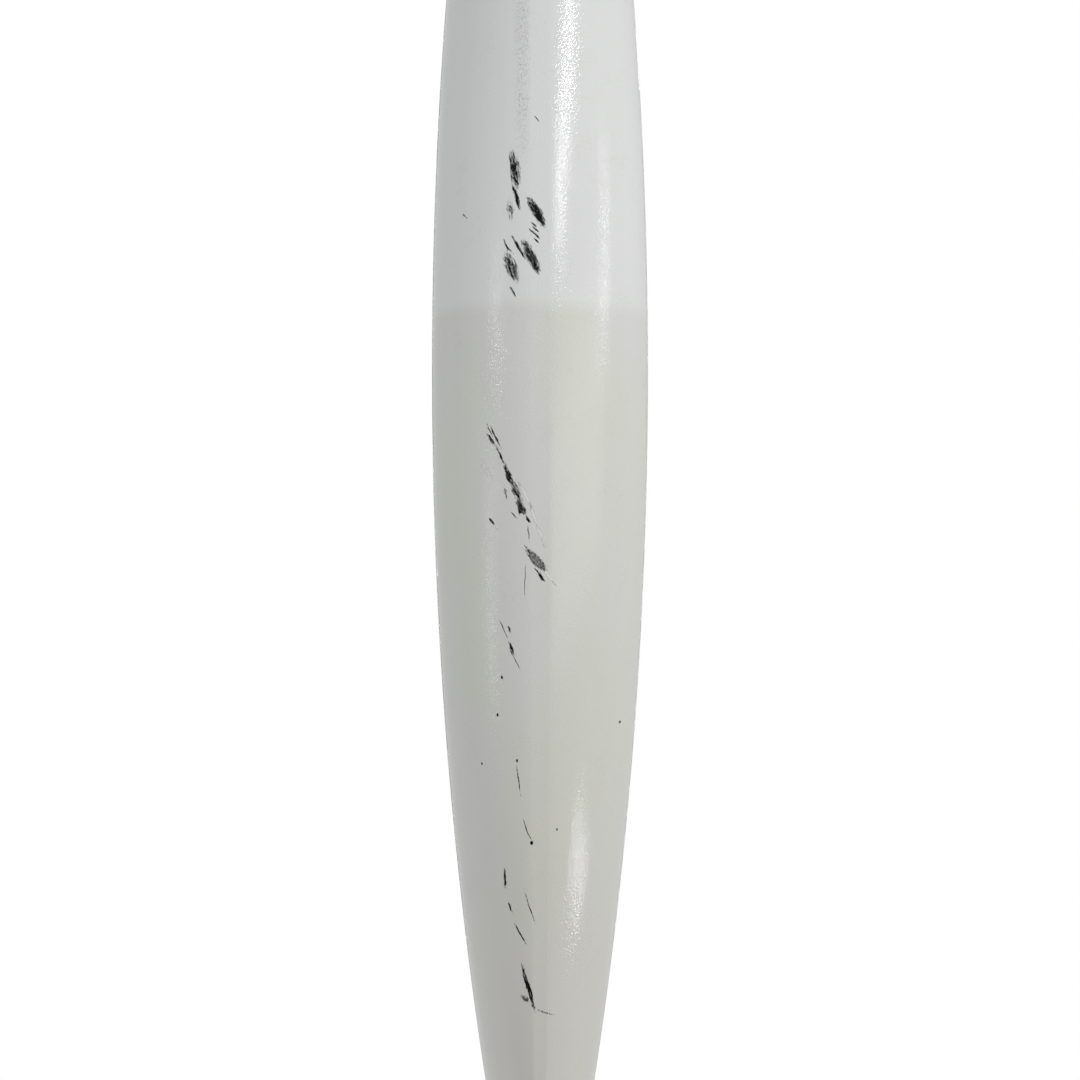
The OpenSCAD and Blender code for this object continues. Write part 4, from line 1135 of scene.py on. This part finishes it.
def makeEyes():
    # each eye faces along its cord: the deck line's, the fore bungee's across the boat, the aft bungees'
    parts = eyeParts()
    places = [(x, edgeY(x), 0.0) for x in foreEyes + aftEyes]
    for x, other in (foreBungee, foreBungee[::-1]):
        here, there = edgeY(x, bungeeInset), -edgeY(other, bungeeInset)
        places.append((x, here, float(np.arctan2(there - here, other - x))))
    places += [(x, bungeeY, pi / 2) for x in aftBungee]
    for side, name in ((1, "left"), (-1, "right")):
        frames = [deckFrame(x, side * y, side * turn) for x, y, turn in places]
        placed = [movePart(part, place) for place in frames for part in parts]
        piece = buildPiece("deckEyes" + name.title(), placed, (finishes["blackPlastic"],))
        finish(piece, "boat", "black_plastic", "deck_eyes_" + name)


def knotPart(centre, way, radius):
    # a pulled-tight overhand knot: a trefoil of cord lying across the way the cord runs
    t = np.linspace(0, 2 * pi, 90, endpoint=False)
    loop = np.stack((np.sin(t) + 2 * np.sin(2 * t), np.cos(t) - 2 * np.cos(2 * t), -np.sin(3 * t)), -1)
    way = Vector(way).normalized()
    side = way.cross(Vector((0, 0, 1))).normalized()
    turn = np.array((way, side, way.cross(side)))
    loop = loop * np.array((0.80, 0.62, 0.95)) * radius
    return tubePart(np.asarray(centre) + loop @ turn, radius * 0.92, 10, closed=True)


def cordParts(path, radius):
    # a cord with a stopper knot and a short tail at both ends
    path = np.asarray(path)
    parts = [tubePart(path, radius, 10)]
    for end, inner in ((path[0], path[4]), (path[-1], path[-5])):
        way = (end - inner) / np.linalg.norm(end - inner)
        parts.append(knotPart(end - 0.4 * radius * way, way, radius))
    return parts


def deckLinePath(places, side):
    # straight from eye to eye with a little sag, drawn in towards the middle where it hangs slack
    knots = []
    ends = [places[0] - 0.014 * np.sign(places[-1] - places[0]), *places,
            places[-1] + 0.014 * np.sign(places[-1] - places[0])]
    for x in ends:
        nearest = min(places, key=lambda p: abs(p - x))
        knots.append(overDeck(x, side * edgeY(nearest), lineLift))
    path = []
    for a, b in zip(knots[:-1], knots[1:]):
        s = np.linspace(0, 1, 33 if np.linalg.norm(b - a) > 0.1 else 6)[:-1, None]
        slack = 4 * s * (1 - s) * (0.004 if np.linalg.norm(b - a) > 0.1 else 0)
        path.append(a + (b - a) * s - slack * np.array((0, side * 1.0, 0)))
    path = np.concatenate((*path, knots[-1:]))
    lowest = deckZ(path[:, 0], path[:, 1]) + 0.0035
    path[:, 2] = np.maximum(path[:, 2], lowest)
    return path


def makeDeckLines():
    for name, places in (("fore", foreEyes), ("aft", aftEyes)):
        for side, half in ((1, "left"), (-1, "right")):
            parts = cordParts(deckLinePath(places, side), cordRadius)
            pieceName = "deckLine" + name.title() + half.title()
            piece = buildPiece(pieceName, parts, (finishes["deckLine"],), crease=70)
            finish(piece, "boat", "line", "deck_line_" + name + "_" + half)


def bungeePath(start, stop, lift):
    # taut over the crown of the deck, level with the eyes at both ends, raised where it crosses another
    s = np.linspace(-0.035, 1.035, 90)
    x = start[0] + (stop[0] - start[0]) * s
    y = start[1] + (stop[1] - start[1]) * s
    rise = np.clip((np.abs(2 * s - 1) - 0.55) / 0.25, 0, 1)
    height = 0.0036 + (lineLift - 0.0036) * rise + lift * np.exp(-((s - 0.5) / 0.05) ** 2)
    return overDeck(x, y, height)


def makeBungees():
    # two cords cross on the fore deck, one over the other, and two lie straight across aft
    a, b = foreBungee
    fore, aft = [], []
    for side, lift in ((1, 0.0062), (-1, 0)):
        start, stop = (a, side * edgeY(a, bungeeInset)), (b, -side * edgeY(b, bungeeInset))
        fore += cordParts(bungeePath(start, stop, lift), cordRadius)
    for x in aftBungee:
        aft += cordParts(bungeePath((x, -bungeeY), (x, bungeeY), 0), cordRadius)
    for parts, name in ((fore, "fore"), (aft, "aft")):
        piece = buildPiece(name + "Bungee", parts, (finishes["shockCord"],), crease=70)
        finish(piece, "boat", "line", name + "_bungee")


handle = {
    "pivotInset": 0.100,        # from the end of the boat to the tube that the cord runs through
    "pivotDrop": 0.036,         # and from the sheer down to it
    "gripInset": 0.175,
    "gripLift": 0.0145,         # from the deck's ridge up to the grip's middle
    "legY": 0.056,
    "cord": 0.004,
    "gripHalf": 0.066,
    "bore": 0.0042,
}


def makeToggle(name, side):
    # a loop of cord through the end of the boat, and a grip with finger grooves threaded on it
    px, gx = side * (halfLength - handle["pivotInset"]), side * (halfLength - handle["gripInset"])
    pz, gz = float(sheer(px)) - handle["pivotDrop"], float(deckZ(gx, 0)) + handle["gripLift"]
    y = handle["legY"]
    corners = [(px, -y, pz), (px, y, pz), (gx, y, gz), (gx, -y, gz)]
    path = []
    for i, corner in enumerate(corners):
        before, here, after = (np.array(corners[(i + k) % 4]) for k in (-1, 0, 1))
        bend = 0.006 if i < 2 else 0.010
        s = np.linspace(0, 1, 9)[:, None]
        first, last = (here + bend * (end - here) / np.linalg.norm(end - here) for end in (before, after))
        path.append((1 - s) ** 2 * first + 2 * s * (1 - s) * here + s ** 2 * last)
    loop = np.concatenate(path)
    t = np.linspace(-1, 1, 61)
    bore, reach = handle["bore"], handle["gripHalf"]
    outside = 0.0094 + 0.0012 * np.cos(t * pi * 4) + 0.0004 * (np.abs(t) > 0.86)
    outside = outside * np.sqrt(np.clip(1 - np.clip((np.abs(t) - 0.93) / 0.07, 0, 1) ** 2 * 0.55, 0.05, 1))
    profile = [(bore, -reach), *zip(outside, t * reach), (bore, reach), (bore, -reach)]
    grip = lathePart(profile, 28)
    place = Matrix.Translation((gx, 0, gz)) @ Matrix.Rotation(-pi / 2, 4, "X")
    parts = [tubePart(loop, handle["cord"], 12, closed=True), movePart(grip, place)]
    skins = (finishes["deckLine"], finishes["blackPlastic"])
    piece = buildPiece(name + "Handle", parts, skins, [0, 1], crease=50)
    finish(piece, name + "_handle", "black_plastic", name + "_toggle")


makeEyes()
makeDeckLines()
makeBungees()
makeToggle("bow", 1)
makeToggle("stern", -1)
print("stage: deck fittings")

# Skeg.

skegPlan = {
    "pivotX": -1.600,
    "pivotLift": 0.054,         # from the keel up to the pin
    "headRadius": 0.050,
    "tailX": -1.930,
    "tailRadius": 0.022,
    "tailClear": 0.003,         # how far inside the keel the tail lies when it is up
    "half": 0.004,
}


def arc(centre, radius, turns):
    return centre + radius * np.stack((np.cos(turns), np.sin(turns)), -1)


def between(start, stop, count):
    # the points of a straight line without its two ends
    s = np.linspace(0, 1, count)[1:-1, None]
    return (1 - s) * start + s * stop


def makeSkegBlade():
    # a thin fin: full thickness along the line between its two round ends, thin at its outline
    px, tx = skegPlan["pivotX"], skegPlan["tailX"]
    r1, r2 = skegPlan["headRadius"], skegPlan["tailRadius"]
    pz = float(keel(px)) + skegPlan["pivotLift"]
    tz = float(keel(tx)) + r2 + skegPlan["tailClear"]
    way = np.arctan2(tz - pz, tx - px)
    lean = np.arccos((r1 - r2) / np.hypot(tx - px, tz - pz))
    ends = np.array(((px, pz), (tx, tz)))
    head = arc(ends[0], r1, way + np.linspace(lean, 2 * pi - lean, 60))
    tail = arc(ends[1], r2, way + np.linspace(-lean, lean, 40))
    outline = np.concatenate((head, between(head[-1], tail[0], 30), tail, between(tail[-1], head[0], 30)))
    axis = ends[1] - ends[0]
    spot = np.clip((outline - ends[0]) @ axis / (axis @ axis), 0, 1)[:, None]
    core = ends[0] + spot * axis
    rings = []
    for f in np.concatenate((np.linspace(1, 0, 12), np.linspace(0, 1, 12))):
        flat = outline + (core - outline) * f
        side = 1 if len(rings) < 12 else -1
        thick = skegPlan["half"] * (0.22 + 0.78 * np.sqrt(1 - (1 - f) ** 2.4))
        rings.append(np.stack((flat[:, 0], np.full(len(flat), side * thick), flat[:, 1]), -1))
    part = sweepPart(np.array(rings), capped=False)
    piece = buildPiece("skegFin", [part], (finishes["blackPlastic"],), crease=50)
    finish(piece, "skeg", "black_plastic", "skeg_blade")


makeSkegBlade()
print("stage: skeg")

# Seat, braces and pads.

seatPlan = {"back": -0.470, "front": -0.130, "half": 0.184, "thick": 0.005}


def seatTop(x, y):
    # a bucket: a cubic rise to both sides, a lip in front and a raised back
    u = (x - seatPlan["back"]) / (seatPlan["front"] - seatPlan["back"])
    sides = 0.065 * (np.abs(y) / seatPlan["half"]) ** 3
    return 0.035 + sides + 0.018 * u * u + 0.026 * (1 - u) ** 4


def makeSeat():
    # the bucket with an ear turned up at each side, where the bolts go through
    x = np.linspace(seatPlan["back"], seatPlan["front"], 70)
    earSteps = np.linspace(1.0, 1.16, 7)[1:]
    t = np.concatenate((-earSteps[::-1], np.linspace(-1, 1, 81), earSteps))
    gridX, gridT = np.meshgrid(x, t, indexing="ij")
    y = seatPlan["half"] * np.clip(gridT, -1, 1)
    reach = np.clip((0.112 - np.abs(gridX + 0.310)) / 0.012, 0.03, 1)
    ear = np.clip(np.abs(gridT) - 1, 0, 1) / 0.16
    top = seatTop(gridX, y)
    z = top + ear * np.clip(0.126 - top, 0, 1) * reach
    outer = np.stack((gridX, y - np.sign(y) * 0.005 * (ear > 0), z), -1)
    inner = np.stack((gridX, y, np.where(ear > 0, z, z - seatPlan["thick"])), -1)
    outer[..., 1] = np.where(np.abs(gridT) >= 1, np.sign(y) * (seatPlan["half"] - 0.005), outer[..., 1])
    finish(shellFrom("seatBucket", outer, inner, None, None, (finishes["blackGelcoat"],), 50), "boat",
           "black_gelcoat", "seat")


def makeBrace(side, name):
    # a shaped hook of laminate and foam under the deck, its edges rounded off
    u, v = np.meshgrid(np.linspace(-1, 1, 61), np.linspace(-1, 1, 31), indexing="ij")
    squareU = np.sign(u) * np.abs(u) ** 0.9
    x = 0.085 + 0.105 * squareU
    y = rimHalf(x) + 0.020 + 0.038 * v * (1 - 0.10 * np.abs(u) ** 6)
    edge = np.maximum(np.abs(u), np.abs(v))
    shrink = 0.0042 * np.clip((edge - 0.72) / 0.28, 0, 1) ** 2.5
    top = deckZ(x, y) - 0.0045 - shrink
    low = deckZ(x, y) - 0.0155 + shrink
    outer, inner = np.stack((x, side * y, top), -1), np.stack((x, side * y, low), -1)
    finish(shellFrom("thighBrace" + name.title(), outer, inner, None, None, (finishes["blackPlastic"],), 60),
           "boat", "black_plastic", "thigh_brace_" + name)


swell = {
    "voxel": 0.004,
    "pressure": 4.0,
    "quality": 5,
    "mass": 0.3,
    "tension": 20,
    "bending": 1.0,
    "frames": 20,
}


def puff(name, part, cap, voxel=swell["voxel"], rest=None):
    # swells a closed form as filled cloth; no point moves further than cap, or past what it rests on
    piece = buildPiece(name, [part], (finishes["padCloth"],))
    remesh = piece.modifiers.new("remesh", "REMESH")
    remesh.mode = "VOXEL"
    remesh.voxel_size = voxel
    mesh = applyAll(piece)
    start = np.empty(len(mesh.vertices) * 3, np.float32)
    mesh.vertices.foreach_get("co", start)
    start = start.reshape(-1, 3)
    cloth = piece.modifiers.new("cloth", "CLOTH")
    cloth.settings.use_pressure = True
    cloth.settings.uniform_pressure_force = swell["pressure"]
    cloth.settings.quality = swell["quality"]
    cloth.settings.mass = swell["mass"]
    cloth.settings.tension_stiffness = swell["tension"]
    cloth.settings.bending_stiffness = swell["bending"]
    cloth.settings.effector_weights.gravity = 0
    cloth.point_cache.frame_start = 1
    cloth.point_cache.frame_end = swell["frames"]
    for frameNumber in range(1, swell["frames"] + 1):
        bpy.context.scene.frame_set(frameNumber)
    depsgraph = bpy.context.evaluated_depsgraph_get()
    shown = piece.evaluated_get(depsgraph).data
    swollen = np.empty(len(shown.vertices) * 3, np.float32)
    shown.vertices.foreach_get("co", swollen)
    move = swollen.reshape(-1, 3) - start
    length = np.linalg.norm(move, axis=1, keepdims=True)
    move *= cap * np.tanh(length / cap) / np.maximum(length, 1e-9)
    piece.modifiers.clear()
    bpy.context.scene.frame_set(1)
    after = start + move
    if rest is not None:
        after = rest(after, start)
    mesh.vertices.foreach_set("co", np.ascontiguousarray(after, np.float32).ravel())
    mesh.update()
    smooth = piece.modifiers.new("smooth", "SUBSURF")
    smooth.levels = smooth.render_levels = 1
    mesh = applyAll(piece)
    mesh.shade_smooth()
    return piece


def applyAll(piece):
    # bakes the modifiers into the mesh
    depsgraph = bpy.context.evaluated_depsgraph_get()
    baked = bpy.data.meshes.new_from_object(piece.evaluated_get(depsgraph))
    piece.modifiers.clear()
    old = piece.data
    piece.data = baked
    bpy.data.meshes.remove(old)
    baked.name = piece.name
    return baked


def padBlock(rows, columns, top, low):
    # a closed slab between two grids of points, given as functions of u and v from -1 to 1
    u, v = np.meshgrid(np.linspace(-1, 1, rows), np.linspace(-1, 1, columns), indexing="ij")
    points = np.concatenate((top(u, v).reshape(-1, 3), low(u, v).reshape(-1, 3)))
    faces = closeSheets(gridFaces(rows, columns), rows * columns)
    return points, faces, np.zeros((len(points), 2))


def roundCorners(u, v, power=10):
    # pulls the corners of a square sheet in to a superellipse
    biggest = np.maximum(np.abs(u), np.abs(v))
    reach = (np.abs(u) ** power + np.abs(v) ** power) ** (1 / power)
    scale = np.where(reach > 1e-6, biggest / np.maximum(reach, 1e-6), 1)
    return u * scale, v * scale


def makeSeatPad():
    # a waterproof foam cushion, lying on the seat, with two sewn channels along it
    def at(u, v, lift):
        u, v = roundCorners(u, v)
        x, y = -0.295 + 0.141 * u, 0.146 * v
        return np.stack((x, y, seatTop(x, y) + lift), -1)

    def rest(after, start):
        # sewn channels first, then nothing below the seat
        channel = 0.003 * np.exp(-((np.abs(after[:, 1]) - 0.055) / 0.004) ** 2)
        upper = start[:, 2] - seatTop(start[:, 0], start[:, 1]) > 0.006
        after[:, 2] -= channel * upper
        after[:, 2] = np.maximum(after[:, 2], seatTop(after[:, 0], after[:, 1]) + 0.0008)
        return after

    block = padBlock(60, 60, lambda u, v: at(u, v, 0.0105), lambda u, v: at(u, v, 0.0012))
    piece = puff("seatCushion", block, 0.005, rest=rest)
    finish(piece, "boat", "foam", "seat_pad")


def makeHipPad(side, name):
    # a foam pad against the cheek, its outer face flat on it
    def at(u, v, y):
        u, v = roundCorners(u, v, 8)
        return np.stack((-0.300 + 0.076 * u, 0 * u + side * y, 0.161 + 0.030 * v), -1)

    def rest(after, start):
        after[:, 1] = side * np.minimum(side * after[:, 1], 0.1852)
        return after

    block = padBlock(40, 20, lambda u, v: at(u, v, 0.170), lambda u, v: at(u, v, 0.184))
    piece = puff("hipPad" + name.title(), block, 0.005, rest=rest)
    finish(piece, "boat", "foam", "hip_pad_" + name)


def makeBackband():
    # a curved band of foam, crowned between its edges, with a sewn line near its top and its bottom
    def at(u, v, radius):
        u, v = roundCorners(u, v, 8)
        turn = radians(17.3) * u
        return np.stack((0.045 - radius * np.cos(turn), radius * np.sin(turn), 0.190 + 0.057 * v), -1)

    def rest(after, start):
        out = np.hypot(after[:, 0] - 0.045, after[:, 1])
        groove = 0.003 * np.exp(-((np.abs(after[:, 2] - 0.190) - 0.030) / 0.004) ** 2)
        sink = np.where(out > 0.492, -groove, groove)        # outer face in, inner face out
        after[:, 0] += sink * (after[:, 0] - 0.045) / out
        return after

    block = padBlock(70, 36, lambda u, v: at(u, v, 0.483), lambda u, v: at(u, v, 0.501))
    piece = puff("backPad", block, 0.006, rest=rest)
    finish(piece, "back_rest", "foam", "backband")


makeSeat()
makeBrace(1, "left")
makeBrace(-1, "right")
makeSeatPad()
makeHipPad(1, "left")
makeHipPad(-1, "right")
makeBackband()
print("stage: seat and pads")

# Pieces kept as they come, with a finish for each.

kept = {
    "inside": ("bulkhead_front", "bulkhead_rear", "bulkhead_day", "skeg_box"),
    "blackPlastic": ("seat_cheek_left", "seat_cheek_right", "footrest_pedal_left", "footrest_pedal_right",
                     "front_hatch_rim", "day_hatch_rim", "rear_hatch_rim", "skeg_track", "end_tubes",
                     "skeg_cable"),
    "stainless": ("seat_bolts", "backband_bolts", "footrest_studs", "skeg_pivot_pin", "eye_screws",
                  "lock_tube"),
    "anodised": ("footrest_rail_left", "footrest_rail_right", "skeg_slider"),
    "webbing": ("backband_straps",),
}
for finishName, nodes in kept.items():
    for nodeName in nodes:
        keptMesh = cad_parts[nodeName].data
        keptMesh.materials.clear()
        keptMesh.materials.append(finishes[finishName])
print("stage: kept pieces")
